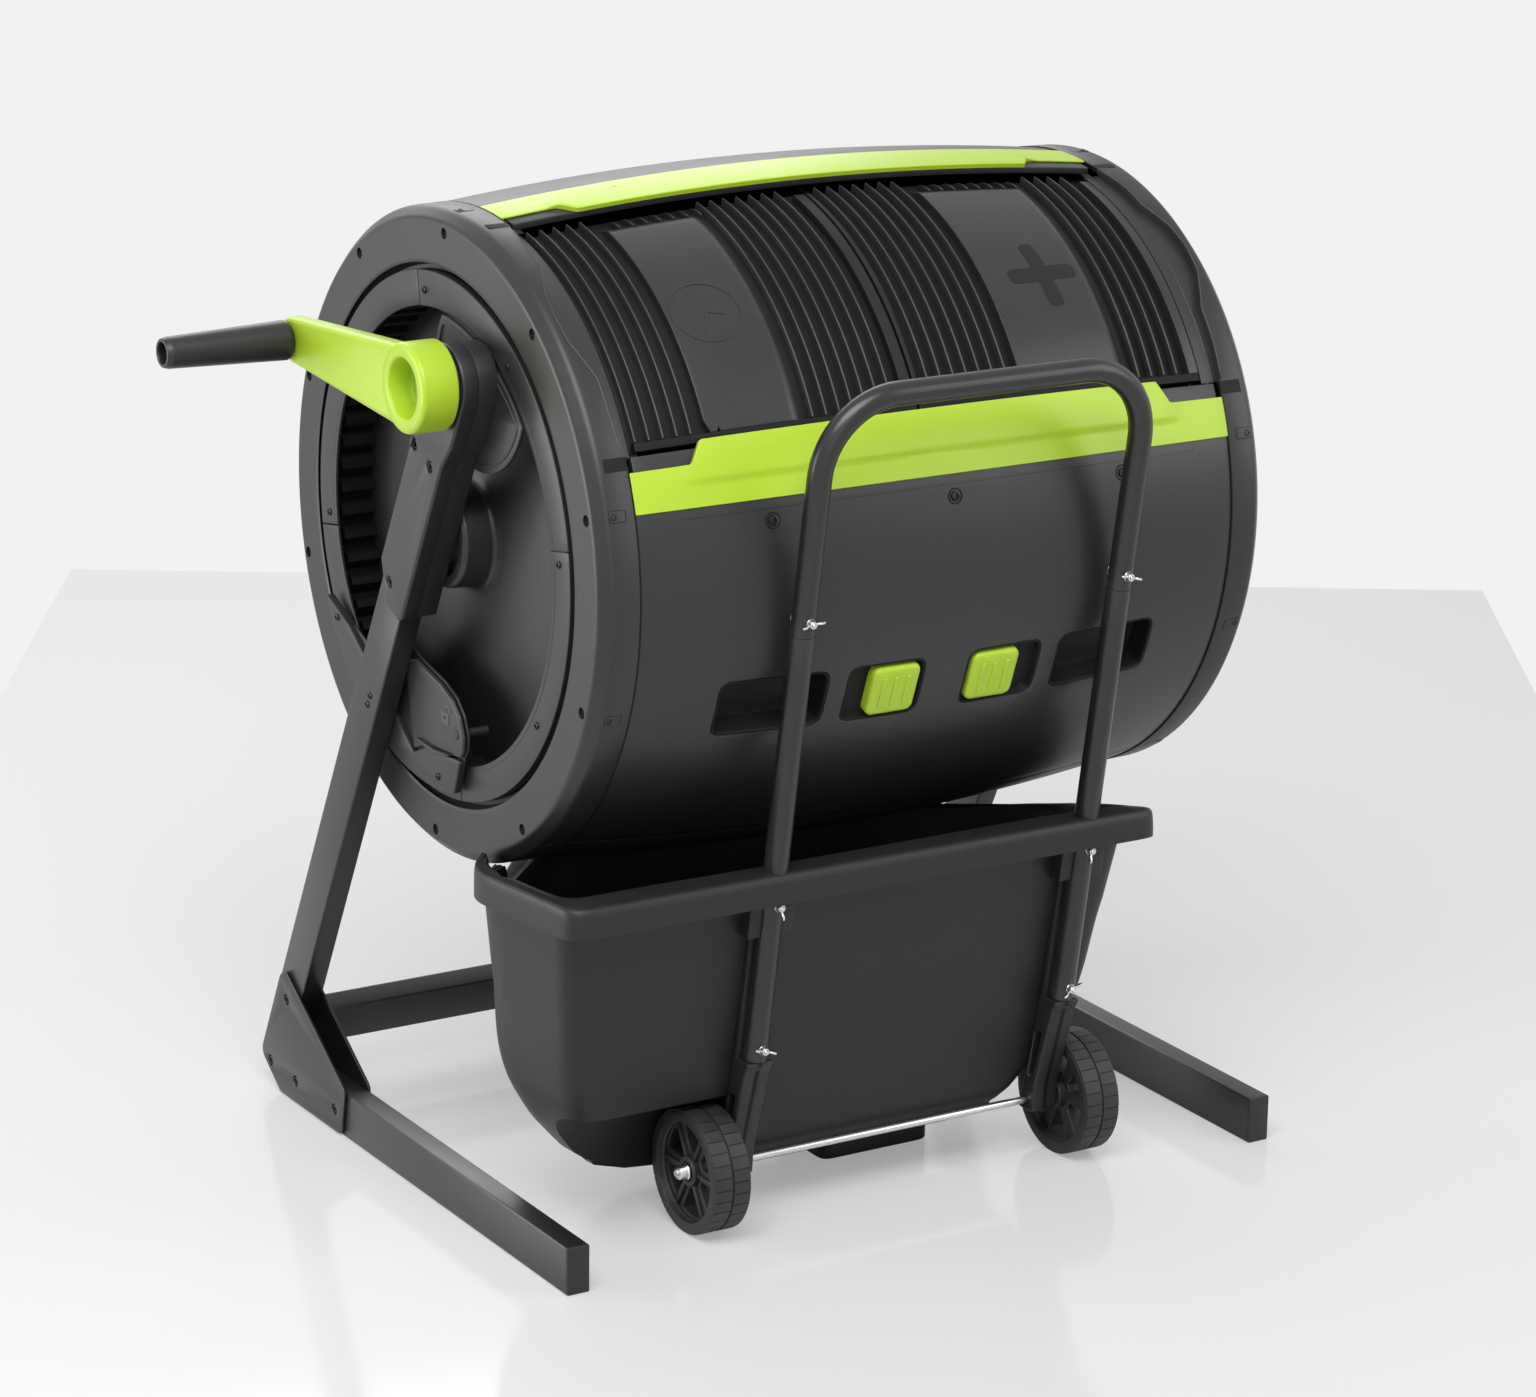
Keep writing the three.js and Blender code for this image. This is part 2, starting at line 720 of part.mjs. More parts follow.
const coverBack = gearFront - seat;
function ringSector(inner, outer, x0, x1, from, to, steps) {
  return plateX([...arc(outer, from, to, steps), ...arc(inner, to, from, steps)], x0, x1);
}
const quarterSteps = ringSteps / 4;
const seamHalf = 0.06;
const gearSkirt = 4;                    // wall under the rim of a gear cover
for (let quarter = 0; quarter < 4; quarter += 1) {
  const from = gearCoverSeam + 90 * quarter + seamHalf;
  const to = from + 90 - 2 * seamHalf;
  const faceBack = -drumHalf + gearCoverWall;
  const face = ringSector(
    gearCoverInner, gearCoverOuter, -drumHalf, faceBack, from, to, quarterSteps);
  const skirt = ringSector(
    gearCoverOuter - gearSkirt, gearCoverOuter, -drumHalf + 1, coverBack, from, to, quarterSteps);
  add(`gear_cover_${quarter + 1}`, join(face, skirt), shell, drumFrame);
}
const plainCover = turned([
  [-drumHalf, gearCoverInner],
  [-drumHalf, gearCoverOuter],
  [coverBack, gearCoverOuter],
  [coverBack, gearCoverOuter - gearSkirt],
  [-drumHalf + gearCoverWall, gearCoverOuter - gearSkirt],
  [-drumHalf + gearCoverWall, gearCoverInner],
]);
add('ring_cover_right', mirrorX(plainCover), shell, drumFrame);

// ---------------------------------------------------------------- drum panels

const panelSteps = 9;
function panel(slot) {
  const from = panelStart + panelSpan * slot + panelGap;
  const to = from + panelSpan - 2 * panelGap;
  return swept(barrelSection(-bodyHalf, bodyHalf, 0, -panelWall), from, to, panelSteps);
}

// A block that stands on the barrel at the row of pockets: x range, height range and outline inset.
function pocketBlock(x0, x1, low, high, inset, corner = 12) {
  const half = pocketTall / 2 - inset;
  const [a, b] = [x0 + inset, x1 - inset];
  const r = corner - inset * 0.5;
  const corners = [
    [b - r, half - r, 0],
    [a + r, half - r, 90],
    [a + r, -half + r, 180],
    [b - r, -half + r, 270],
  ];
  const shape = outline(corners.flatMap(([x, t, from]) => arc(r, from, from + 90, 3, [x, t])));
  const block = new THREE.ExtrudeGeometry(shape, { depth: high - low, bevelEnabled: false });
  const outward = new THREE.Vector3(0, ...polar(1, pocketTurn));
  const along = new THREE.Vector3().crossVectors(outward, unitX);
  return weld(block.translate(0, 0, low).applyMatrix4(axesTo(unitX, along, outward)));
}

const barrelBody = (offset) => turned(
  [
    ...stations(-bodyHalf, bodyHalf).map((x) => [x, barrel(x) + offset]),
    [bodyHalf, 0.01],
    [-bodyHalf, 0.01],
  ],
  60,
  pocketTurn,
);

const pocketSurface = barrel((ventPocket[0] + ventPocket[1]) / 2);
const pockets = [
  { span: handPocket, deep: handPocketDeep },
  { span: ventPocket, deep: ventPocketDeep },
].flatMap(({ span, deep }) => [
  { from: span[0], to: span[1], deep },
  { from: -span[1], to: -span[0], deep },
]);
const ventWindow = [38, 100];
function frontPanel() {
  const trim = solid(barrelBody(0));
  let body = solid(panel(0));
  for (const { from, to, deep } of pockets) {
    body = body.subtract(solid(pocketBlock(from, to, pocketSurface - deep, midRadius + 20, 0)));
    const cup = solid(pocketBlock(from, to, pocketSurface - deep - 3, midRadius + 20, 0))
      .subtract(solid(pocketBlock(from, to, pocketSurface - deep, midRadius + 21, 3)));
    body = body.add(cup.intersect(trim));
  }
  for (const side of [-1, 1]) {
    for (const slot of [-16, 0, 16]) {
      const [a, b] = ventWindow.map((x) => side * x).sort((p, q) => p - q);
      const vent = box(a, b, slot - 4, slot + 4, pocketSurface - ventPocketDeep - 5, pocketSurface - 5);
      const outward = new THREE.Vector3(0, ...polar(1, pocketTurn));
      const along = new THREE.Vector3().crossVectors(outward, unitX);
      body = body.subtract(solid(vent.applyMatrix4(axesTo(unitX, along, outward))));
    }
  }
  return geometryOf(body);
}

// ---------------------------------------------------------------- door bay

const bayTop = panelStart + 4 * panelSpan - 360;
const railReach = 9.4;                  // degrees that a bay rail covers
const doorTop = -doorDrop + doorWall;
const railLow = doorTop + doorRib + 1;
const railRoot = 2;                      // degrees that a rail reaches under its panel
const railSpans = [
  [bayTop + panelGap, bayTop + railReach],
  [panelStart - railReach, panelStart - panelGap],
];
const railFlush = -0.6;                 // a rail lies this far below the barrel, under its grip strip
const railHalf = trackWeb - trackFlange - trackClearance;
const rail = (from, to) => join(
  swept(barrelSection(-trackWeb, trackWeb, railFlush, -panelWall), from, to, 2),
  swept(barrelSection(-railHalf, railHalf, -panelWall / 2, railLow), from, to, 2),
);
const frontRail = rail(railSpans[1][0], railSpans[1][1] + railRoot);
add('front_panel', join(frontPanel(), frontRail), shell, drumFrame);
add('bottom_panel', panel(1), shell, drumFrame);
add('rear_lower_panel', panel(2), shell, drumFrame);
const topRail = rail(railSpans[0][0] - railRoot, railSpans[0][1]);
add('rear_upper_panel', join(panel(3), topRail), shell, drumFrame);

// A lime strip over a rail: a long cap with a raised lip towards the doors.
function gripStrip(from, to, lipFrom, lipTo) {
  const cap = swept(barrelSection(-bodyHalf, bodyHalf, stripProud, railFlush + seat), from, to, 2);
  const lip = swept(
    barrelSection(-stripLipHalf, stripLipHalf, stripProud + stripWall, railFlush + seat),
    lipFrom,
    lipTo,
    2,
  );
  return join(cap, lip);
}
const stripReach = 7;                   // degrees a strip spans beside its lip
const lipStart = 4.5;                   // degrees from the bay's edge to the lip
const lipEnd = railReach - 0.4;
const stripTop = gripStrip(bayTop + panelGap, bayTop + stripReach, bayTop + lipStart, bayTop + lipEnd);
const stripFront = gripStrip(
  panelStart - stripReach,
  panelStart - panelGap,
  panelStart - lipEnd,
  panelStart - lipStart,
);
add('strip_top', stripTop, lime, drumFrame);
add('strip_front', stripFront, lime, drumFrame);

// Side track of the doors: a channel open towards the bay, and a border between it and the end cover.
const trackRadius = barrel(trackWeb - trackFlange / 2);
const trackHigh = barrel(trackWeb) - panelWall - trackClearance;
const trackLow = trackRadius - doorDrop - trackClearance - trackWall;
const channel = [
  [-trackWeb, trackLow],
  [-trackWeb + trackFlange, trackLow],
  [-trackWeb + trackFlange, trackLow + trackWall],
  [-trackWeb + trackWall, trackLow + trackWall],
  [-trackWeb + trackWall, trackHigh - trackWall + 0.6],
  [-trackWeb + trackLip, trackHigh - trackWall + 0.6],
  [-trackWeb + trackLip, trackHigh],
  [-trackWeb, trackHigh],
];
const channelEnd = panelStart - railReach - 0.2;
const borderDrop = panelWall + trackClearance;
const border = swept(
  barrelSection(-bodyHalf, -trackWeb + 1, -borderDrop, -borderDrop - trackWall),
  bayTop + railReach + 0.4,
  panelStart - railReach - 0.4,
  7,
);
const track = swept(channel, trackStart, channelEnd, 14);
addPair('door_track', join(track, border), innerPlastic, drumFrame);

// Doors: curved sheets that slide up behind the bay. Thin blades stand in their grooves, and flat pads as
// high as the blades lie between the groups. A pad is upright at its -X side and slopes down at its +X
// side. Distances in a door's section run from the centre plane towards its outer edge.
const bladeHalf = 1.2;
const doorSurface = doorTop + doorRib;
const doorShoulder = trackWeb - trackLip - 1;   // outer edge of the full height of a door
const padSlope = 15;
const doorLipSpan = 0.6;                // degrees of the lip along the lower end of a door
function blades(first, count, pitch) {
  return Array.from({ length: count }, (_, i) => first + i * pitch).flatMap((at) => [
    [at - bladeHalf, doorTop],
    [at - bladeHalf, doorSurface],
    [at + bladeHalf, doorSurface],
    [at + bladeHalf, doorTop],
  ]);
}
const pad = (from, to) => stations(from, to).map((x) => [x, doorSurface]);
const clockPad = [156, doorShoulder - 76.5];
const plusPad = [106.5, doorShoulder - 99.5];
const doorTongue = [[doorShoulder, doorTop], [doorEnd, doorTop]];
const surfaceLeft = [
  ...pad(-doorSeam + doorGap / 2, 33.5),
  [33.5, doorTop],
  ...blades(48, 7, 15),
  [clockPad[0] - padSlope, doorTop],
  ...pad(...clockPad),
  [clockPad[1], doorTop],
  ...blades(doorShoulder - 60.5, 5, 14.6),
  [doorEnd, doorTop],
];
const surfaceRight = [
  ...pad(doorSeam + doorGap / 2, -13),
  [-7, doorTop],
  ...blades(-1.5, 7, 15.4),
  [plusPad[0], doorTop],
  ...pad(...plusPad),
  [plusPad[1] + padSlope, doorTop],
  ...blades(doorShoulder - 77.7, 4, 16.5),
  [doorShoulder - 12, doorTop],
  ...pad(doorShoulder - 12, doorShoulder),
  ...doorTongue,
];
function door(surface, side) {
  const inner = surface[0][0];
  const placed = (points) => points.map(([x, offset]) => [side * x, barrel(x) + offset]);
  const lower = stations(inner, doorEnd).reverse().map((x) => [x, -doorDrop]);
  const lipTop = stations(inner, doorShoulder).map((x) => [x, doorSurface]);
  const lipFoot = stations(inner, doorShoulder).reverse().map((x) => [x, doorTop - 1]);
  return join(
    swept(placed([...surface, ...lower]), doorOpen, doorClose, 6),
    swept(placed([...lipTop, ...lipFoot]), doorClose - doorLipSpan, doorClose, 1),
  );
}
add('door_left', door(surfaceLeft, -1), shell, drumFrame);
add('door_right', door(surfaceRight, 1), shell, drumFrame);

// Divider between the two chambers; its upper edge passes under the doors.
const dividerHigh = midRadius - panelWall - 1;
const dividerLow = midRadius - doorDrop - 1.4;
const divider = plateX(
  [
    ...arc(dividerHigh, panelStart + railRoot + 1, 360 + trackStart - 1, 27),
    ...arc(dividerLow, trackStart, panelStart + railRoot, 13),
  ],
  -dividerHalf,
  dividerHalf,
);
add('divider', divider, innerPlastic, drumFrame);

// ---------------------------------------------------------------- vent sliders

const knobFloor = pocketSurface - ventPocketDeep + seat;
const ridgeHalf = 17;
const ridgeHigh = 1.5;
function ventKnob() {
  const gap = 4.5;
  const from = ventPocket[0] + 4;
  const top = pocketSurface + ventKnobProud;
  const plate = pocketBlock(from - gap, from + ventKnobLong + gap, knobFloor, top, gap);
  const outward = new THREE.Vector3(0, ...polar(1, pocketTurn));
  const along = new THREE.Vector3().crossVectors(outward, unitX);
  const ridges = [-14, 0, 14].map((offset) => {
    const middle = from + ventKnobLong / 2 + offset;
    const ridge = box(middle - 2, middle + 2, -ridgeHalf, ridgeHalf, top - 1, top + ridgeHigh);
    return ridge.applyMatrix4(axesTo(unitX, along, outward));
  });
  return join(plate, ...ridges);
}
add('vent_slider_right', ventKnob(), lime, drumFrame);
add('vent_slider_left', mirrorX(ventKnob()), lime, drumFrame);

// ---------------------------------------------------------------- crank

const hubBack = -crankFace + crankHubDeep;
const [crankY, crankZ] = crankCentre;
const shaftEnd = -crankFace + crankRecessDeep + 1;
const boltHole = circle(4.4, 12, crankCentre);
const pinionBack = -dishFloor - 2;
const pinionFront = -armInnerFace + guardThick + 3;
const pinionAt = pinionOutline.map(([y, z]) => [y + crankY, z + crankZ]);
const pinionShaft = cut(
  join(
    plateX(pinionAt, pinionFront, pinionBack),
    rodX(shaftRadius, shaftEnd, pinionFront + 4, 24, crankCentre),
  ),
  plateX(boltHole, shaftEnd - 1, shaftEnd + 24),
);
add('pinion_shaft', pinionShaft, innerPlastic, drumFrame);

const tipCentre = [crankY + crankThrow, crankZ];
const taper = (Math.asin((crankHubRadius - crankTipRadius) / crankThrow) * 180) / Math.PI;
const crankBar = plateX(
  [
    ...arc(crankTipRadius, -90 + taper, 90 - taper, 6, tipCentre),
    ...arc(crankHubRadius, 90 - taper, 270 + taper, 20, crankCentre),
  ],
  -crankFace,
  -crankFace + crankArmDeep,
);
const spindleSeat = circle(gripSpindleRadius + seat, 16, tipCentre);
const crankArm = cut(
  join(crankBar, plateX(circle(crankHubRadius, 32, crankCentre), -crankFace, hubBack)),
  rodX(crankRecess, -crankFace - 1, -crankFace + crankRecessDeep, 28, crankCentre),
  plateX(circle(outside(shaftRadius + seat, 24), 24, crankCentre), -crankFace, hubBack + 1),
  plateX(spindleSeat, -crankFace - 1, -crankFace + crankArmDeep - 5),
);
add('crank_arm', crankArm, lime, drumFrame);

const boltHead = 12.5;
const crankBolt = join(
  plateX(circle(boltHead, 6, crankCentre), shaftEnd - seat - 1 - 6, shaftEnd - seat - 1),
  plateX(circle(4, 12, crankCentre), shaftEnd - seat - 2, shaftEnd + 20),
);
add('crank_bolt', crankBolt, zinc, drumFrame);

const gripStart = -crankFace - 1;
const gripEnd = gripStart - gripLength;
const spindleHead = gripEnd + gripMouthDeep - 1;
const gripSpindle = join(
  rodX(gripSpindleRadius, spindleHead, -crankFace + crankArmDeep - 6, 16, tipCentre),
  rodX(gripSpindleRadius + 3, spindleHead - 4, spindleHead, 16, tipCentre),
);
add('grip_spindle', gripSpindle, zinc, drumFrame);

const gripSides = 24;
const gripBore = outside(gripSpindleRadius + running, gripSides);
const grip = turned([
  [gripStart, gripBore],
  [gripStart, gripBase - 1.5],
  [gripStart - 3, gripBase],
  [gripEnd + 2, gripTip + 0.6],
  [gripEnd, gripTip - 0.8],
  [gripEnd, gripMouth],
  [gripEnd + gripMouthDeep, gripMouth],
  [gripEnd + gripMouthDeep, gripBore],
], gripSides, 0).translate(0, tipCentre[0], tipCentre[1]);
add('crank_grip', grip, innerPlastic, drumFrame);

// ---------------------------------------------------------------- drum brake

const lockBack = innerFace + seat;
const lockFront = lockBack + lockWall;
const lockPlate = lockFront - lockBase;
const lockTurn = 270 + uprightLean;
const lockArc = arc(lockOuter, lockTurn - lockSpread, lockTurn + lockSpread, 10);
const mirrored = (radius, angle) => polar(radius, 2 * lockTurn - angle);
const ledge = [[222, 253], [217, 272], [232, 279]];
const crown = [[212, 250], [194, 250.6], [156, 256], [lockInner, 283]];
const crownBack = [[225, 27], [200, 13], [156, 9], [lockInner, 7]];
const shield = [
  ...lockArc,
  ...crownBack.map(([radius, past]) => polar(radius, lockTurn + past)),
  ...[...crown].reverse().map(([radius, angle]) => polar(radius, angle)),
  polar(...ledge[0]),
];
const ledgeRoom = 2.5;
const lockLower = [
  ...lockArc,
  mirrored(...ledge[0]),
  ...[...ledge].reverse().map(([radius, angle]) => polar(radius + ledgeRoom, angle)),
];
const pivotBore = circle(outside(lockPinRadius + running, 12), 12, lockPivot);
const lockHousing = join(
  plateX(shield, lockPlate, lockFront, [pivotBore]),
  plateX(lockLower, lockBack, lockFront),
);
add('lock_housing', lockHousing, shell, drumFrame);

// The lever turns over the base and carries a pawl that swings out between two gear teeth.
const pawlBack = gearFront + 8;
const pawlFront = gearFront - 3;
const gearStep = 360 / ringTeeth;
const pawlSpace = crankAngle + 21 * gearStep;
const pawlLocked = polar(gearTip + lockBite, pawlSpace).map((value, k) => value - lockPivot[k]);
const pawlReach = Math.hypot(...pawlLocked);
const pawlRest = (Math.atan2(pawlLocked[1], pawlLocked[0]) * 180) / Math.PI - lockSwing;
const pawlEnd = 2.6;
const pawlNose = polar(pawlReach - pawlEnd, pawlRest).map((value, k) => value + lockPivot[k]);
const pawl = [
  ...arc(lockPinRadius + 3, pawlRest + 90, pawlRest + 270, 5, lockPivot),
  ...arc(pawlEnd, pawlRest - 60, pawlRest + 60, 3, pawlNose),
];
const leverOutline = [...ledge, [150, 291], [lockInner + 1, 283], ...[...crown.slice(0, 3)].reverse()]
  .map(([radius, angle]) => polar(radius, angle));
const lever = join(
  plateX(leverOutline, lockBack + seat, lockPlate - seat),
  rodX(lockPinRadius, lockBack + 1, pawlBack, 12, lockPivot),
  plateX(pawl, pawlFront, pawlBack),
);
add('lock_lever', lever, shell, drumFrame);

// ---------------------------------------------------------------- cart tub

const cartFrame = new THREE.Group();
machine.add(cartFrame);

const handleAt = (z) => handleAtAxis - handleLean * (z - axisHeight);
const rimFront = handleAt(rimHeight) - rimAhead;
function leaningRod(radius, z0, z1, sides, x) {
  const start = new THREE.Vector3(x, handleAt(z0), z0);
  const end = new THREE.Vector3(x, handleAt(z1), z1);
  const rod = new THREE.CylinderGeometry(radius, radius, start.distanceTo(end), sides);
  const turn = new THREE.Quaternion().setFromUnitVectors(unitY, end.clone().sub(start).normalize());
  return rod.applyQuaternion(turn).translate(...start.add(end).multiplyScalar(0.5).toArray());
}

// Rounded six-cornered outline of the tub, given its half width, front and back.
const slantedEdges = [1, 3];            // edges that carry the rim round the drum
const slantParts = 9;
const backShare = 0.5;                  // width of the back over the width of the front
function tubOutline(half, front, back, sharp = 1) {
  const middle = front + 0.44 * (back - front);
  const corners = [
    [half, front, 45], [half + rimBow, middle, 60], [backShare * half, back, 70],
    [-backShare * half, back, 70], [-half - rimBow, middle, 60], [-half, front, 45],
  ];
  const arcs = corners.map(([x, y, radius], k) => {
    const before = corners[(k + corners.length - 1) % corners.length];
    const after = corners[(k + 1) % corners.length];
    const corner = new THREE.Vector2(x, y);
    const towards = (other) => new THREE.Vector2(other[0] - x, other[1] - y).normalize();
    const reach = radius * sharp * 0.55;
    const start = corner.clone().addScaledVector(towards(before), reach);
    const end = corner.clone().addScaledVector(towards(after), reach);
    return [0, 0.25, 0.5, 0.75, 1].map((t) => {
      const first = start.clone().lerp(corner, t);
      const second = corner.clone().lerp(end, t);
      return first.lerp(second, t);
    });
  });
  return arcs.flatMap((arc, k) => {
    const next = arcs[(k + 1) % arcs.length][0];
    const count = slantedEdges.includes(k) ? slantParts : 1;
    const between = Array.from({ length: count - 1 }, (_, i) => (i + 1) / count)
      .map((share) => arc.at(-1).clone().lerp(next, share));
    return [...arc, ...between].map((point) => [point.x + tubCentre, point.y]);
  });
}

// Height of the rim: level at the front and past the end of the drum, and round the drum under it.
const sweepRadius = midRadius + stripProud + stripWall + rimClearance;
const pastDrum = 3;                     // end of the drum to the step up of the rim
const rimRise = 30;                     // width of that step
const rimFall = 0.26;                   // slope of the rim towards the back at its right end
const rimTurn = 50;                     // width over which the right end takes up that slope
const shareOf = (value) => Math.min(1, Math.max(0, value));
function rimAt(x, y) {
  const under = Math.min(rimHeight, axisHeight - Math.sqrt(sweepRadius ** 2 - y ** 2));
  const past = shareOf((-x - drumHalf - pastDrum) / rimRise);
  const right = shareOf((x - tubCentre - rimHalf) / rimTurn + 1);
  const sloped = Math.min(under, rimHeight - rimFall * (y - rimFront));
  return under + (rimHeight - under) * past + (sloped - under) * right;
}

const wallHalf = rimHalf - endFlange;
const wallBack = rimBack - rimFlange;
const wallFront = (z) => handleAt(z) + handleRadius + tubBehind;
const knee = 285;                       // height where the tub's wall turns steeper
// Each level of the tub: height over its floor, then how far its ends, front and back lie in from the top.
const tubLevels = [
  [0, 182, 82.9, 114, 0.8],
  [3, 150, 63.9, 88, 0.9],
  [18, 112, 51.9, 60, 1],
  [50, 76, 42.9, 36, 1],
  [95, 45, 30.9, 22, 1],
  [knee - tubFloor, 14, 0, 8, 1],
].map(([up, ends, ahead, behind, sharp]) => ({
  z: tubFloor + up,
  half: wallHalf - ends,
  front: wallFront(knee) + ahead,
  back: wallBack - behind,
  sharp,
}));
function tubBody(inset, lift, top) {
  const rings = tubLevels.map(({ z, half, front, back, sharp }) => tubOutline(
    half - inset, front + inset, back - inset, sharp).map(([x, y]) => [x, y, z + lift]));
  const rim = tubOutline(wallHalf - inset, wallFront(rimHeight) + inset, wallBack - inset);
  rings.push(rim.map(([x, y]) => [x, y, rimAt(x, y) + top]));
  return loft(rings, fill(rim));
}

// Section of the rolled rim: [distance in from the edge, height from the rim].
const rimSection = [
  [0, -rimSkirt], [0.06, -4], [0.25, 0], [1.12, 0], [1.12, -4], [0.3, -4], [0.2, -7], [0.13, -rimSkirt],
];
const frontFlange = wallFront(rimHeight) - rimFront;
const rim = loft(rimSection.map(([share, drop]) => tubOutline(
  rimHalf - share * endFlange,
  rimFront + share * frontFlange,
  rimBack - share * rimFlange,
).map(([x, y]) => [x, y, rimAt(x, y) + drop])));

const archRadius = wheelRadius + archGap;
const archWall = 6;                     // inner face of a wheel to the arch beside it
const wheelOuter = wheelInner + wheelWide;
function wheelArch(grow) {
  const from = -rimHalf + tubCentre;
  const to = -wheelInner + archWall + grow;
  return rodX(archRadius + grow, from, to, 24, [wheelAxisY, wheelRadius]);
}
const footSpan = [-22, 112];
const footBlock = (inset, high) => box(footSpan[0] + inset, footSpan[1] - inset, -158 + inset, -62 - inset,
  inset, high);

const sides = [['left', -1], ['right', 1]];
function clipBlock(side) {
  const middle = side * handleHalf;
  const block = box(
    middle - clipHalf,
    middle + clipHalf,
    handleAt(rimHeight),
    wheelAxisY,
    clipLow,
    rimHeight - 3,
  );
  return common(block, leaningPlate());
}
function leaningPlate() {
  const front = -4;
  const back = handleRadius + tubBehind + tubWall / 2;
  return plateX([
    [handleAt(clipLow) + front, clipLow], [handleAt(clipLow) + back, clipLow],
    [handleAt(rimHeight) + back, rimHeight], [handleAt(rimHeight) + front, rimHeight],
  ], -rimHalf, rimHalf);
}
const arches = (grow) => [wheelArch(grow), mirrorX(wheelArch(grow))];
const outerSolid = cut(tubBody(0, 0, -1), ...arches(0));
const roomSolid = cut(tubBody(tubWall, tubWall, 30), ...arches(tubWall));
const tubBlank = cut(
  join(outerSolid, footBlock(0, tubFloor + 20)),
  join(roomSolid, footBlock(tubWall, tubFloor + 21)),
);
const handleHoles = sides.map(([, side]) => leaningRod(
  outside(handleRadius + seat, 16), clipLow - 10, rimHeight + 20, 16, side * handleHalf));
const tubWithRim = join(tubBlank, rim, clipBlock(-1), clipBlock(1));
add('cart_tub', filled(cut(tubWithRim, ...handleHoles)), shell, cartFrame);

// ---------------------------------------------------------------- cart frame

const postFoot = tubFloor + 8;
const postTop = handleFoot - 2.5;
const spigotRadius = handleRadius - handleWall - seat;
const postGap = 1;

// Front of the tub's outer wall at a height.
function tubFrontAt(z) {
  const above = tubLevels.findIndex((level) => level.z >= z);
  const [low, high] = [tubLevels[above - 1], tubLevels[above]];
  return low.front + ((high.front - low.front) * (z - low.z)) / (high.z - low.z);
}
const postHeights = [postFoot, wheelRadius, tubFloor + 50, tubFloor + 95, postTop];
const postBack = postHeights.map((z) => [tubFrontAt(z) - postGap, z]);
const post = (side) => {
  const middle = side * handleHalf;
  const profile = [
    ...postBack,
    [handleAt(handleFoot) - handleRadius, postTop],
    [handleAt(handleFoot) - handleRadius + 8, postTop - 14],
    [wheelAxisY - 15, wheelRadius + 20],
    [wheelAxisY - 12, postFoot],
  ];
  const body = join(
    plateX(profile, middle - postHalf, middle + postHalf),
    leaningRod(spigotRadius, postTop - 8, postTop + spigotLong, 16, middle),
  );
  const reach = postHalf + 1;
  return cut(
    body,
    rodX(rodRadius + seat, middle - reach, middle + reach, 16, [wheelAxisY, wheelRadius]),
  );
};
add('post_left', post(-1), innerPlastic, cartFrame);
add('post_right', post(1), innerPlastic, cartFrame);

const jointBolt = handleJoint + boltAbove;
function rodY(radius, y0, y1, sidesOfRod, x, z) {
  return new THREE.CylinderGeometry(radius, radius, y1 - y0, sidesOfRod).translate(x, (y0 + y1) / 2, z);
}
const boltAt = handleAt(jointBolt);
const boltPass = (side) => rodY(
  boltRadius + seat,
  boltAt - 4 * handleRadius,
  boltAt + 4 * handleRadius,
  12,
  side * handleHalf,
  jointBolt,
);
for (const [name, side] of sides) {
  const middle = side * handleHalf;
  const bore = leaningRod(
    handleRadius - handleWall,
    handleFoot - 20,
    handleJoint + 20,
    16,
    middle,
  );
  const lower = cut(leaningRod(handleRadius, handleFoot, handleJoint, 16, middle), bore);
  add(`lower_tube_${name}`, lower, steel, cartFrame);
}

// The push bar: two straight legs, two bends and a level top.
class PushBar extends THREE.Curve {
  getPoint(t, target = new THREE.Vector3()) {
    const start = handleJoint + seat;
    const straight = handleTop - handleBend - start;
    const quarter = (Math.PI / 2) * handleBend;
    const top = 2 * (handleHalf - handleBend);
    const total = 2 * straight + 2 * quarter + top;
    const mirror = t > 0.5;
    const run = (mirror ? 1 - t : t) * total;
    let x = handleHalf;
    let z = start + Math.min(run, straight);
    if (run > straight) {
      const turn = Math.min(1, (run - straight) / quarter) * (Math.PI / 2);
      x = handleHalf - handleBend * (1 - Math.cos(turn));
      z = handleTop - handleBend * (1 - Math.sin(turn));
    }
    if (run > straight + quarter) x = handleHalf - handleBend - (run - straight - quarter);
    return target.set(mirror ? x : -x, handleAt(z), z);
  }
}
const barSection = new THREE.Shape(circle(handleRadius, 12).map(([a, b]) => new THREE.Vector2(a, b)));
const barSteps = 40;
const pushBar = new THREE.ExtrudeGeometry(barSection, { steps: barSteps, extrudePath: new PushBar() });
const spigots = sides.map(([, side]) => leaningRod(
  spigotRadius, handleJoint - spigotLong, handleJoint + 6, 16, side * handleHalf));
add('push_bar', cut(join(pushBar, ...spigots), boltPass(-1), boltPass(1)), steel, cartFrame);

// Wing bolts through the foot of the push bar.
for (const [name, side] of sides) {
  const front = handleAt(jointBolt) - handleRadius - boltSeat;
  const x = side * handleHalf;
  const wing = (turn) => box(2, 15, front - 6, front - 3.5, -2.5, 4.5)
    .rotateY(turn).translate(x, 0, jointBolt);
  const bolt = join(
    rodY(boltRadius, front - 7, front + 2 * handleRadius, 12, x, jointBolt),
    rodY(boltRadius + 3, front - 7, front, 12, x, jointBolt),
    wing(radians(-15)),
    wing(radians(195)),
  );
  add(`wing_bolt_${name}`, bolt, zinc, cartFrame);
}

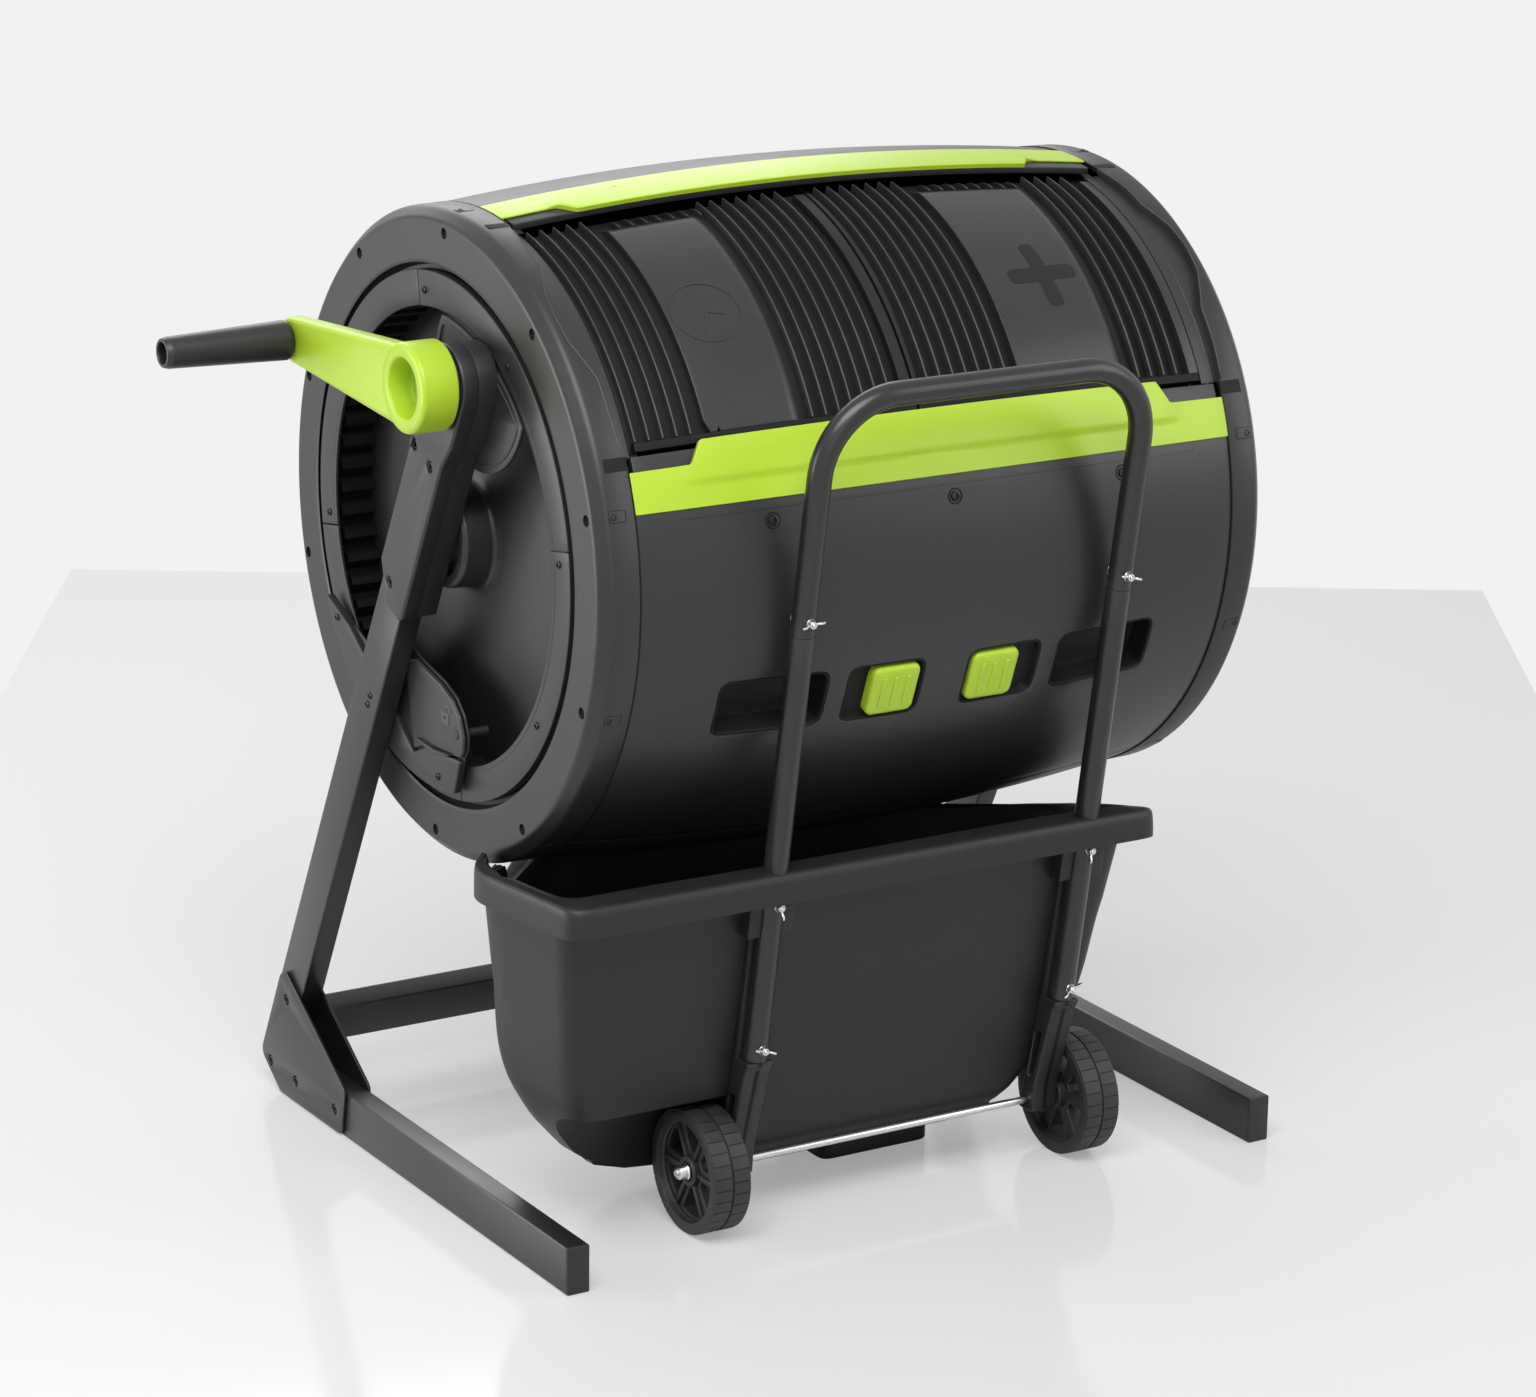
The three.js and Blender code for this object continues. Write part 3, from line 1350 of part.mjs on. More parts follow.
const rodEnd = wheelOuter + 9;
add('wheel_rod', rodX(rodRadius, -rodEnd, rodEnd, 16, [wheelAxisY, wheelRadius]), zinc, cartFrame);

// A spoked wheel: tread ring, hub and six windows between the spokes.
function wheel() {
  const centre = [wheelAxisY, wheelRadius];
  const windows = [];
  for (let spoke = 0; spoke < 6; spoke += 1) {
    const middle = 60 * spoke + 30;
    windows.push([
      ...arc(48, middle - 20, middle + 20, 3, centre),
      ...arc(20, middle + 12, middle - 12, 1, centre),
    ]);
  }
  const web = plateX(circle(wheelRadius - 6, 30, centre, -90), wheelInner + 8, wheelOuter - 8, windows);
  const tread = plateX(circle(wheelRadius, 30, centre, -90), wheelInner, wheelOuter, [
    circle(wheelRadius - 13, 30, centre, -90),
  ]);
  const hub = plateX(circle(16, 16, centre), wheelInner, wheelOuter - 4);
  const bore = rodX(outside(rodRadius + running, 16), wheelInner - 1, wheelOuter + 1, 16, centre);
  return cut(join(web, tread, hub), bore);
}
add('wheel_right', wheel(), tyre, cartFrame);
add('wheel_left', mirrorX(wheel()), tyre, cartFrame);

// ---------------------------------------------------------------- origin

// The origin is the middle of the whole object's outline, on the floor.
machine.updateMatrixWorld(true);
const extent = new THREE.Box3().setFromObject(machine, true);
const middle = extent.getCenter(new THREE.Vector3());
machine.position.set(-middle.x, -middle.y, -extent.min.z);
machine.updateMatrixWorld(true);

export default machine;
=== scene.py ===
import json
from math import acos, asin, cos, degrees, hypot, pi, radians, sin, sqrt, tan

import bmesh
import bpy
import numpy as np
from mathutils import Matrix, Vector


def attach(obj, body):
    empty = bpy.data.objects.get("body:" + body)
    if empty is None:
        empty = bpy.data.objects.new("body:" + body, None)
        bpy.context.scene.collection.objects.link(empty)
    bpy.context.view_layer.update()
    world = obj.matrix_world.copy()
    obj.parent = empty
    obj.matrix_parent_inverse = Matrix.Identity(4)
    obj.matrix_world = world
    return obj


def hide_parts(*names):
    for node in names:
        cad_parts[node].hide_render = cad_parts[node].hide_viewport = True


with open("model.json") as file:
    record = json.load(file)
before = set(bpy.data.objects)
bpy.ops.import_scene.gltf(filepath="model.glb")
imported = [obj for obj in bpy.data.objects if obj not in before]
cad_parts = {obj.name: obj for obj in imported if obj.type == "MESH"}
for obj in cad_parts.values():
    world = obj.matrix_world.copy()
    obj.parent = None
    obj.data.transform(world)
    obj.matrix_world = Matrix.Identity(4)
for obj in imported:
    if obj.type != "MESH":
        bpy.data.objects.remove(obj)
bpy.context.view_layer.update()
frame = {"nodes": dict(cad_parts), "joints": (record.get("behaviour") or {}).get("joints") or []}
nodes = frame["nodes"]
spin = next(joint for joint in frame["joints"] if joint["name"] == "drum_spin")
origin = np.array([spin["pos_m"][0], spin["pos_m"][1], 0.0])
axisHeight = spin["pos_m"][2] * 1000
print("frame loaded:", len(nodes), "nodes")

# shapes: a shell is an array of points in millimetres and a list of faces, x = 0 on the centre plane

drum = {"midRadius": 351, "endRadius": 331, "bodyHalf": 347, "faceHalf": 388.5}
stanceInner, stanceOuter = 401.5, 426.5
legMiddle = (stanceInner + stanceOuter) / 2
leanAngle = radians(26.4)


def polar(radius, angle, centre=(0, 0)):
    turn = radians(angle)
    return (centre[0] + radius * cos(turn), centre[1] + radius * sin(turn))


def arc(radius, start, end, steps, centre=(0, 0)):
    return [polar(radius, start + (end - start) * k / steps, centre) for k in range(steps + 1)]


def circle(radius, steps, centre):
    return arc(radius, 0, 360 * (1 - 1 / steps), steps - 1, centre)


def alongUpright(up, across=0):
    c, s = cos(leanAngle), sin(leanAngle)
    return (across * c - up * s, across * s + up * c)


def roundOff(points, radius, steps=4):
    corners = [np.array(point, float) for point in points]
    radii = radius if isinstance(radius, (list, tuple)) else [radius] * len(corners)
    rounded = []
    for k, corner in enumerate(corners):
        before, after = corners[k - 1] - corner, corners[(k + 1) % len(corners)] - corner
        longBefore, longAfter = np.linalg.norm(before), np.linalg.norm(after)
        cosine = np.clip(before @ after / (longBefore * longAfter), -1, 1)
        reach = radii[k] / max(tan(acos(cosine) / 2), 1e-3)
        reach = min(reach, 0.48 * longBefore, 0.48 * longAfter)
        if reach < 0.05:
            rounded.append(tuple(corner))
            continue
        start = corner + before / longBefore * reach
        end = corner + after / longAfter * reach
        for step in range(steps + 1):
            t = step / steps
            point = start * (1 - t) ** 2 + corner * 2 * t * (1 - t) + end * t * t
            rounded.append(tuple(point))
    return rounded


def box2d(x0, x1, y0, y1):
    return [(x0, y0), (x1, y0), (x1, y1), (x0, y1)]


def signedArea(points):
    p = np.array(points)
    q = np.roll(p, -1, axis=0)
    return float((p[:, 0] * q[:, 1] - q[:, 0] * p[:, 1]).sum() / 2)


def linked(name, data):
    made = bpy.data.objects.new(name, data)
    bpy.context.scene.collection.objects.link(made)
    return made


def shellOf(mesh):
    points = np.array([vertex.co[:] for vertex in mesh.vertices])
    return points, [tuple(face.vertices) for face in mesh.polygons]


# an outline in x and y as a plate from low to high, with rounded edges
def slab(outline, low, high, holes, edge, rounds=2):
    curve = bpy.data.curves.new("slab", "CURVE")
    curve.dimensions = "2D"
    curve.fill_mode = "BOTH"
    curve.extrude = (high - low) / 2 - edge
    curve.bevel_depth = edge
    curve.bevel_resolution = rounds
    curve.offset = -edge
    for loop, turn in [(outline, 1)] + [(hole, -1) for hole in holes]:
        points = np.array(loop, float)
        if signedArea(points) * turn > 0:
            points = points[::-1]
        spline = curve.splines.new("POLY")
        spline.points.add(len(points) - 1)
        filled = np.c_[points, np.zeros(len(points)), np.ones(len(points))]
        spline.points.foreach_set("co", filled.ravel())
        spline.use_cyclic_u = True
    holder = bpy.data.objects.new("slab", curve)
    mesh = bpy.data.meshes.new_from_object(holder)
    points, faces = shellOf(mesh)
    bpy.data.objects.remove(holder)
    bpy.data.meshes.remove(mesh)
    points[:, 2] += (low + high) / 2
    return points, faces


def axes(shell, order):
    points, faces = shell
    return points[:, list(order)], faces


def plateX(outline, x0, x1, holes, edge, lift=0, rounds=2):
    shell = slab(outline, min(x0, x1), max(x0, x1), holes, edge, rounds)
    return shift(axes(shell, (2, 0, 1)), (0, 0, lift))


def shift(shell, by):
    return shell[0] + np.array(by, float), shell[1]


def mirrored(shell):
    points, faces = shell
    return points * np.array([-1, 1, 1]), [face[::-1] for face in faces]


# a closed profile of (x, radius) turned about a line along x
def turned(profile, steps, centre=(0, 0)):
    count = len(profile)
    turns = 2 * pi * np.arange(steps) / steps
    points = np.array([
        (x, centre[0] + r * cos(t), centre[1] + r * sin(t)) for t in turns for x, r in profile])
    faces = []
    for k in range(steps):
        a, b = k * count, ((k + 1) % steps) * count
        for j in range(count):
            n = (j + 1) % count
            if profile[j][1] < 1e-6 and profile[n][1] < 1e-6:
                continue
            faces.append((a + j, a + n, b + n, b + j))
    return points, faces


def lathe(profile, radii, fine, steps, centre=(0, 0)):
    return turned(roundOff(profile, radii, fine), steps, centre)


def loft(rings, capped=True):
    count = len(rings[0])
    points = np.array([point for ring in rings for point in ring], float)
    faces = []
    for k in range(len(rings) - 1):
        for j in range(count):
            n = (j + 1) % count
            faces.append((k * count + j, k * count + n, (k + 1) * count + n, (k + 1) * count + j))
    if capped:
        faces.append(tuple(reversed(range(count))))
        faces.append(tuple((len(rings) - 1) * count + j for j in range(count)))
    return points, faces


def tubeAlong(path, radius, sides, bore=None, mouth=18):
    path = np.array(path, float)
    ahead = np.gradient(path, axis=0)
    ahead /= np.linalg.norm(ahead, axis=1)[:, None]
    side = np.cross(ahead[0], (0.3, 0.9, 0.1))
    rings = []
    for point, direction in zip(path, ahead):
        side = side - direction * (side @ direction)
        side /= np.linalg.norm(side)
        up = np.cross(direction, side)
        turns = [2 * pi * k / sides for k in range(sides)]
        rings.append([point + radius * (cos(t) * side + sin(t) * up) for t in turns])
    if bore:
        mouths = []
        for end, sign in ((0, 1), (-1, -1)):
            inner = path[end] + (np.array(rings[end]) - path[end]) * bore / radius
            mouths.append([inner, inner + sign * ahead[end] * mouth])
        rings = mouths[0][::-1] + rings + mouths[1]
    return loft(rings)


def toBmesh(shell):
    points, faces = shell
    bm = bmesh.new()
    made = [bm.verts.new(tuple(point)) for point in points]
    for face in faces:
        if len(set(face)) < 3:
            continue
        try:
            bm.faces.new([made[k] for k in face])
        except ValueError:
            pass
    bmesh.ops.remove_doubles(bm, verts=bm.verts[:], dist=0.002)
    return bm


def fromBmesh(bm):
    bm.verts.index_update()
    points = np.array([v.co[:] for v in bm.verts])
    faces = [tuple(v.index for v in face.verts) for face in bm.faces]
    bm.free()
    return points, faces


def gridCut(shell, xs, ss):
    bm = toBmesh(shell)
    for axis, values in ((0, xs), (1, ss)):
        normal = Vector((1, 0, 0)) if axis == 0 else Vector((0, 1, 0))
        for value in values:
            everything = bm.verts[:] + bm.edges[:] + bm.faces[:]
            bmesh.ops.bisect_plane(bm, geom=everything, dist=0.01, plane_co=normal * value, plane_no=normal)
    return fromBmesh(bm)


def barrel(x):
    return drum["midRadius"] - (drum["midRadius"] - drum["endRadius"]) * (x / drum["bodyHalf"]) ** 2


def arcLength(turn):
    return radians(turn) * drum["midRadius"]


def turnAt(length):
    return degrees(length / drum["midRadius"])


def onDrum(points):
    x, s, h = np.array(points, float).T
    turn = s / drum["midRadius"]
    radius = barrel(x) + h
    return np.c_[x, radius * np.cos(turn), axisHeight + radius * np.sin(turn)]


def skin(outline, low, high, holes, edge, warp=None, xStep=14, turnStep=2.5):
    flat = [(x, arcLength(turn)) for x, turn in outline]
    cuts = [[(x, arcLength(turn)) for x, turn in hole] for hole in holes]
    shell = slab(flat, low, high, cuts, edge)
    x0, x1 = shell[0][:, 0].min(), shell[0][:, 0].max()
    s0, s1 = shell[0][:, 1].min(), shell[0][:, 1].max()
    sStep = arcLength(turnStep)
    xs = np.linspace(x0, x1, max(2, int((x1 - x0) / xStep) + 1))[1:-1]
    ss = np.linspace(s0, s1, max(2, int((s1 - s0) / sStep) + 1))[1:-1]
    points, faces = gridCut(shell, xs, ss)
    if warp:
        points = warp(points)
    return onDrum(points), faces


def drumPoint(x, turn, h=0.0):
    place = onDrum([(x, arcLength(turn), h)])[0]
    t = radians(turn)
    return tuple(place), (0, cos(t), sin(t))


def dress(made, body, sharp):
    made.data.shade_smooth()
    made.data.set_sharp_from_angle(angle=radians(sharp))
    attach(made, body)


# one object on a moving body, in place of the solids that it dresses
def piece(name, shells, finish, body, nodesReplaced=(), sharp=34):
    bm = bmesh.new()
    for shell in shells:
        part = toBmesh(shell)
        bmesh.ops.recalc_face_normals(part, faces=part.faces[:])
        temporary = bpy.data.meshes.new("shell")
        part.to_mesh(temporary)
        part.free()
        bm.from_mesh(temporary)
        bpy.data.meshes.remove(temporary)
    for vertex in bm.verts:
        vertex.co = Vector(np.array(vertex.co) / 1000 + origin)
    mesh = bpy.data.meshes.new(name)
    bm.to_mesh(mesh)
    bm.free()
    mesh.materials.append(finish)
    made = linked(name, mesh)
    dress(made, body, sharp)
    if nodesReplaced:
        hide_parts(*nodesReplaced)


def settle(made):
    view = bpy.context.evaluated_depsgraph_get()
    view.update()
    result = bpy.data.meshes.new_from_object(made.evaluated_get(view))
    made.modifiers.clear()
    old = made.data
    made.data = result
    bpy.data.meshes.remove(old)


# finishes

# the output of a node, with sums written as maths nodes
class Wire:
    def __init__(self, graph, socket):
        self.graph, self.socket = graph, socket

    def maths(self, operation, first, second):
        return self.graph.node("ShaderNodeMath", {"operation": operation}, [first, second])

    def __add__(self, other): return self.maths("ADD", self, other)
    def __radd__(self, other): return self.maths("ADD", other, self)
    def __sub__(self, other): return self.maths("SUBTRACT", self, other)
    def __rsub__(self, other): return self.maths("SUBTRACT", other, self)
    def __mul__(self, other): return self.maths("MULTIPLY", self, other)
    def __rmul__(self, other): return self.maths("MULTIPLY", other, self)
    def __pow__(self, other): return self.maths("POWER", self, other)


class Graph:
    def __init__(self, tree):
        self.tree = tree

    def node(self, kind, settings=None, sockets=None, out=0):
        made = self.tree.nodes.new(kind)
        for key, value in (settings or {}).items():
            if key == "stops":
                ramp = made.color_ramp
                while len(ramp.elements) < len(value):
                    ramp.elements.new(0.5)
                for element, (where, shade) in zip(ramp.elements, value):
                    element.position = where
                    element.color = (shade, shade, shade, 1)
            else:
                setattr(made, key, value)
        given = sockets.items() if isinstance(sockets, dict) else enumerate(sockets or [])
        for key, value in given:
            if isinstance(value, Wire):
                self.tree.links.new(value.socket, made.inputs[key])
            else:
                made.inputs[key].default_value = value
        return Wire(self, made.outputs[out]) if len(made.outputs) else None


class Finish(Graph):
    def __init__(self, name, slot):
        self.material = bpy.data.materials.new(name)
        self.material.use_nodes = True
        self.material["slot"] = slot
        super().__init__(self.material.node_tree)
        self.tree.nodes.clear()
        self.where = self.node("ShaderNodeTexCoord", out="Object")

    def noise(self, scale, detail, roughness, stretch=None, turn=(0, 0, 0)):
        where = self.where
        if stretch:
            placed = {"Vector": where, "Rotation": turn, "Scale": stretch}
            where = self.node("ShaderNodeMapping", None, placed)
        return self.node("ShaderNodeTexNoise", {"noise_dimensions": "3D"}, {
            "Vector": where, "Scale": scale, "Detail": detail, "Roughness": roughness})

    def ramp(self, value, *stops):
        return self.node("ShaderNodeValToRGB", {"stops": stops}, [value])

    def blend(self, factor, first, second):
        return self.node("ShaderNodeMix", {"data_type": "RGBA"}, {
            0: factor, 6: (*first, 1) if isinstance(first, tuple) else first,
            7: (*second, 1) if isinstance(second, tuple) else second}, out=2)

    def finish(self, colour, roughness, height, bump, fixed):
        normal = self.node("ShaderNodeBump", None, {
            "Strength": bump[0], "Distance": bump[1], "Height": height})
        shader = self.node("ShaderNodeBsdfPrincipled", None, {
            "Base Color": colour, "Roughness": roughness, "Normal": normal, **fixed})
        self.node("ShaderNodeOutputMaterial", None, {"Surface": shader})
        return self.material


def mouldedPlastic(name, slot, look):
    made = Finish(name, slot)
    flow = made.noise(look["flowScale"], 4, 0.55)
    blotch = made.noise(look["blotchScale"], 2, 0.5)
    grain = made.noise(look["grainScale"], 2, 0.6)
    pits = made.node("ShaderNodeTexVoronoi", {"feature": "F1"}, {
        "Vector": made.where, "Scale": look["grainScale"] * 0.45})
    scuffs = made.ramp(
        made.noise(1, 5, 0.6, stretch=look["scuffStretch"], turn=(0.5, 0.3, 0.9)), (0.63, 0), (0.7, 1))
    facing = made.node("ShaderNodeSeparateXYZ", None, [made.node("ShaderNodeNewGeometry", out="Normal")],
                       out=2)
    dust = made.node("ShaderNodeMath", {"operation": "MAXIMUM"}, [facing, 0.0]) ** 2 * blotch
    # painted highlight: sharp edges (pointiness) are blended toward the light colour
    edge = made.ramp(made.node("ShaderNodeNewGeometry", out="Pointiness"), (0.52, 0), (0.62, 1))
    colour = made.blend(flow * look["flowShare"], look["colour"], look["light"])
    colour = made.blend(dust * look["dust"], colour, look["dustColour"])
    colour = made.blend(edge * look["edge"], colour, look["light"])
    roughness = look["roughness"] + (flow - 0.5) * look["roughSpread"] + scuffs * look["scuffs"] + dust * 0.06
    height = grain * 0.6 + pits * 0.4 + blotch * look["wave"]
    return made.finish(colour, roughness, height, look["bump"], {
        "Specular IOR Level": look["specular"], "IOR": 1.5})


# edge sets the share of the painted edge highlight; light is the lighter tone used for the random flow and
# for that highlight
mouldedLook = {
    "colour": (0.0135, 0.0138, 0.0142), "light": (0.026, 0.0265, 0.027), "dustColour": (0.05, 0.05, 0.05),
    "flowScale": 7, "flowShare": 0.6, "blotchScale": 38, "grainScale": 1500, "roughness": 0.4,
    "roughSpread": 0.12, "scuffs": 0.08, "scuffStretch": (30, 420, 55), "dust": 0.25, "edge": 0.35,
    "wave": 0.3, "bump": (0.22, 0.00012), "specular": 0.5,
}
blackPlastic = mouldedPlastic("blackPlastic", "black_plastic", mouldedLook)
doorPlastic = mouldedPlastic("doorPlastic", "black_plastic", {
    **mouldedLook, "colour": (0.0135, 0.0136, 0.0138), "light": (0.03, 0.0302, 0.0304), "roughness": 0.34,
    "grainScale": 1100, "flowScale": 11})
innerPlastic = mouldedPlastic("innerPlastic", "inner_plastic", {
    **mouldedLook, "colour": (0.008, 0.0082, 0.0086), "light": (0.016, 0.016, 0.017), "roughness": 0.5,
    "grainScale": 900})
tubPlastic = mouldedPlastic("tubPlastic", "black_plastic",
                            {**mouldedLook, "colour": (0.0075, 0.0077, 0.0081),
                             "light": (0.0145, 0.0148, 0.0153), "roughness": 0.45, "specular": 0.4,
                             "grainScale": 1300, "flowScale": 5, "bump": (0.3, 0.00016)})
wheelPlastic = mouldedPlastic("wheelPlastic", "wheel_plastic", {
    **mouldedLook, "colour": (0.011, 0.011, 0.0115), "light": (0.024, 0.024, 0.024), "roughness": 0.52,
    "grainScale": 1700, "edge": 0.5, "dust": 0.4})
gripPlastic = mouldedPlastic("gripPlastic", "inner_plastic", {
    **mouldedLook, "colour": (0.013, 0.013, 0.0135), "light": (0.024, 0.024, 0.025), "roughness": 0.38,
    "grainScale": 1400, "flowScale": 14})
limePlastic = mouldedPlastic("limePlastic", "lime_plastic", {
    **mouldedLook, "colour": (0.425, 0.62, 0.024), "light": (0.48, 0.69, 0.038),
    "dustColour": (0.47, 0.7, 0.1), "roughness": 0.36, "roughSpread": 0.1, "scuffs": 0.06, "edge": 0.3,
    "dust": 0.15, "grainScale": 1700, "bump": (0.16, 0.0001)})


def powderCoat(name, slot, look):
    made = Finish(name, slot)
    peel = made.noise(look["peelScale"], 1, 0.4)
    fine = made.noise(look["fineScale"], 2, 0.6)
    drift = made.noise(6, 3, 0.5)
    rub = made.ramp(made.noise(1, 6, 0.65, stretch=look["rubStretch"], turn=(0.2, 0.7, 0.1)), (0.66, 0),
                    (0.72, 1))
    # painted highlight: sharp edges of the powder coat are blended toward a lighter grey
    edge = made.ramp(made.node("ShaderNodeNewGeometry", out="Pointiness"), (0.53, 0), (0.64, 1))
    colour = made.blend(drift * 0.5, look["colour"], look["light"])
    colour = made.blend(edge * 0.4, colour, look["edgeHighlight"])
    roughness = look["roughness"] + (drift - 0.5) * 0.12 + rub * 0.1 + (fine - 0.5) * 0.1
    height = peel * 0.7 + fine * 0.3
    return made.finish(colour, roughness, height, look["bump"], {"Specular IOR Level": 0.55})


powderSteel = powderCoat("powderSteel", "powder_steel", {
    "colour": (0.0105, 0.0107, 0.011), "light": (0.019, 0.0193, 0.02), "edgeHighlight": (0.05, 0.05, 0.052),
    "peelScale": 620, "fineScale": 2600, "rubStretch": (40, 300, 40), "roughness": 0.3,
    "bump": (0.3, 0.00018)})


def platedSteel(name, slot, look):
    made = Finish(name, slot)
    brush = made.noise(1, 4, 0.6, stretch=look["brush"])
    cloud = made.noise(60, 3, 0.6)
    spots = made.ramp(made.noise(260, 3, 0.7), (0.6, 0), (0.75, 1))
    colour = made.blend(cloud, look["colour"], look["tint"])
    colour = made.blend(spots * 0.35, colour, look["dull"])
    roughness = look["roughness"] + (brush - 0.5) * 0.2 + spots * 0.15
    return made.finish(colour, roughness, brush * 0.7 + cloud * 0.3, (0.2, 0.00008), {"Metallic": 1.0})


# blades: a lighter copy of the door plastic whose sharp top edges get a strong painted highlight
bladeHighlightPlastic = mouldedPlastic("bladeHighlightPlastic", "black_plastic", {
    **mouldedLook, "colour": (0.02, 0.0203, 0.0208), "light": (0.045, 0.0455, 0.046), "roughness": 0.3,
    "grainScale": 1500, "edge": 0.9})
# near-black, duller copy of the black plastic: painted shade for groove floors, pocket insides, seams, gaps,
# deep screw holes and the ring gear
paintedShadePlastic = mouldedPlastic("paintedShadePlastic", "black_plastic", {
    **mouldedLook, "colour": (0.003, 0.003, 0.0031), "light": (0.006, 0.006, 0.006), "roughness": 0.6,
    "dust": 0.1, "grainScale": 1500, "specular": 0.25})
# dark, dull copy of the black plastic: painted shade for the recessed plus emblem and the seam between the
# doors
paintedShadeMarkPlastic = mouldedPlastic("paintedShadeMarkPlastic", "black_plastic", {
    **mouldedLook, "colour": (0.006, 0.0058, 0.0056), "light": (0.009, 0.0088, 0.0086), "roughness": 0.55,
    "grainScale": 900, "edge": 0.0, "specular": 0.3})
# lighter plastic: the lock icon mark, and the painted highlight bead along the wavy bay edge
markAndHighlightPlastic = mouldedPlastic("markAndHighlightPlastic", "black_plastic", {
    **mouldedLook, "colour": (0.05, 0.0505, 0.051), "light": (0.08, 0.0805, 0.081), "roughness": 0.45,
    "grainScale": 1200})
zincSteel = platedSteel("zincSteel", "zinc_steel", {
    "colour": (0.62, 0.63, 0.65), "tint": (0.7, 0.69, 0.64), "dull": (0.34, 0.34, 0.35),
    "brush": (300, 1800, 1800), "roughness": 0.26})
screwSteel = platedSteel("screwSteel", "zinc_steel", {
    "colour": (0.03, 0.03, 0.032), "tint": (0.045, 0.044, 0.043), "dull": (0.02, 0.02, 0.02),
    "brush": (900, 900, 900), "roughness": 0.38})
print("finishes ready")

# fasteners: one tree sets a head on each point of a mesh, turned to the point's own direction

fastenerSizes = {"sides": 18, "panRadius": 5.2, "panHigh": 2.6, "socket": 2.6, "wellRadius": 7.6,
                 "wellWall": 1.3}
fastenerPlaces = {}


def fasten(kind, body, places):
    fastenerPlaces.setdefault((kind, body), []).extend(places)


def headShell(size):
    sides, r = size["sides"], size["panRadius"]
    turns = [2 * pi * k / sides for k in range(sides)]

    def ring(radius, z, hexagon=False):
        points = []
        for t in turns:
            reach = radius
            if hexagon:
                reach = radius / cos((t + pi / 6) % (pi / 3) - pi / 6)
            points.append((reach * cos(t), reach * sin(t), z))
        return points
    high = size["panHigh"]
    rings = [ring(r, -1), ring(r, high * 0.35), ring(r * 0.9, high * 0.8), ring(r * 0.72, high),
             ring(size["socket"] + 0.3, high), ring(size["socket"], high - 0.3, True),
             ring(size["socket"], high - 1.6, True)]
    return loft(rings)


def wellShell(size):
    r, wall = size["wellRadius"], size["wellWall"]
    profile = [(-0.8, r), (0.45, r - 0.2), (0.7, r - wall / 2), (0.45, r - wall), (-0.8, r - wall)]
    shell = turned(profile, size["sides"] + 6)
    return axes(shell, (1, 2, 0))


# a node group with named inputs: the group, its input identifiers, its graph and its input wires
def nodeGroup(name, inputs):
    tree = bpy.data.node_groups.new(name, "GeometryNodeTree")
    keys = {key: tree.interface.new_socket(key, in_out="INPUT", socket_type=f"NodeSocket{kind}").identifier
            for key, kind in inputs.items()}
    tree.interface.new_socket("Made", in_out="OUTPUT", socket_type="NodeSocketGeometry")
    graph = Graph(tree)
    given = tree.nodes.new("NodeGroupInput")
    return tree, keys, graph, {socket.name: Wire(graph, socket) for socket in given.outputs if socket.name}


def closeGroup(graph, instances, finish):
    real = graph.node("GeometryNodeRealizeInstances", None, [instances])
    graph.node("NodeGroupOutput", None, [graph.node(
        "GeometryNodeSetMaterial", None, {"Geometry": real, "Material": finish})])


def grown(name, mesh, group, values):
    made = linked(name, mesh)
    setting = made.modifiers.new("nodes", "NODES")
    setting.node_group, keys = group
    for key, value in values.items():
        setting[keys[key]] = value
    settle(made)
    return made


def fastenerTree():
    tree, keys, graph, wires = nodeGroup("fasteners", {
        "Places": "Geometry", "Head": "Object", "Size": "Float", "Finish": "Material"})
    shape = graph.node("GeometryNodeObjectInfo", {"transform_space": "ORIGINAL"}, {
        "Object": wires["Head"]}, out="Geometry")
    facing = graph.node("GeometryNodeInputNamedAttribute", {"data_type": "FLOAT_VECTOR"},
                        {"Name": "facing"})
    turn = graph.node("FunctionNodeAlignRotationToVector", {"axis": "Z"}, {"Vector": facing})
    heads = graph.node("GeometryNodeInstanceOnPoints", None, {
        "Points": wires["Places"], "Instance": shape, "Rotation": turn, "Scale": wires["Size"]})
    closeGroup(graph, heads, wires["Finish"])
    return tree, keys


def plainObject(name, shell, scale=0.001, shiftBy=(0, 0, 0)):
    bm = toBmesh(shell)
    bmesh.ops.recalc_face_normals(bm, faces=bm.faces[:])
    for vertex in bm.verts:
        vertex.co = vertex.co * scale + Vector(shiftBy)
    mesh = bpy.data.meshes.new(name)
    bm.to_mesh(mesh)
    bm.free()
    return linked(name, mesh)


def without(first, others):
    base = plainObject("base", first, 1.0)
    for shell in others:
        tool = plainObject("tool", shell, 1.0)
        cutter = base.modifiers.new("shape", "BOOLEAN")
        cutter.operation, cutter.object, cutter.solver = "DIFFERENCE", tool, "EXACT"
        settle(base)
        bpy.data.objects.remove(tool)
    left = shellOf(base.data)
    bpy.data.objects.remove(base)
    return left


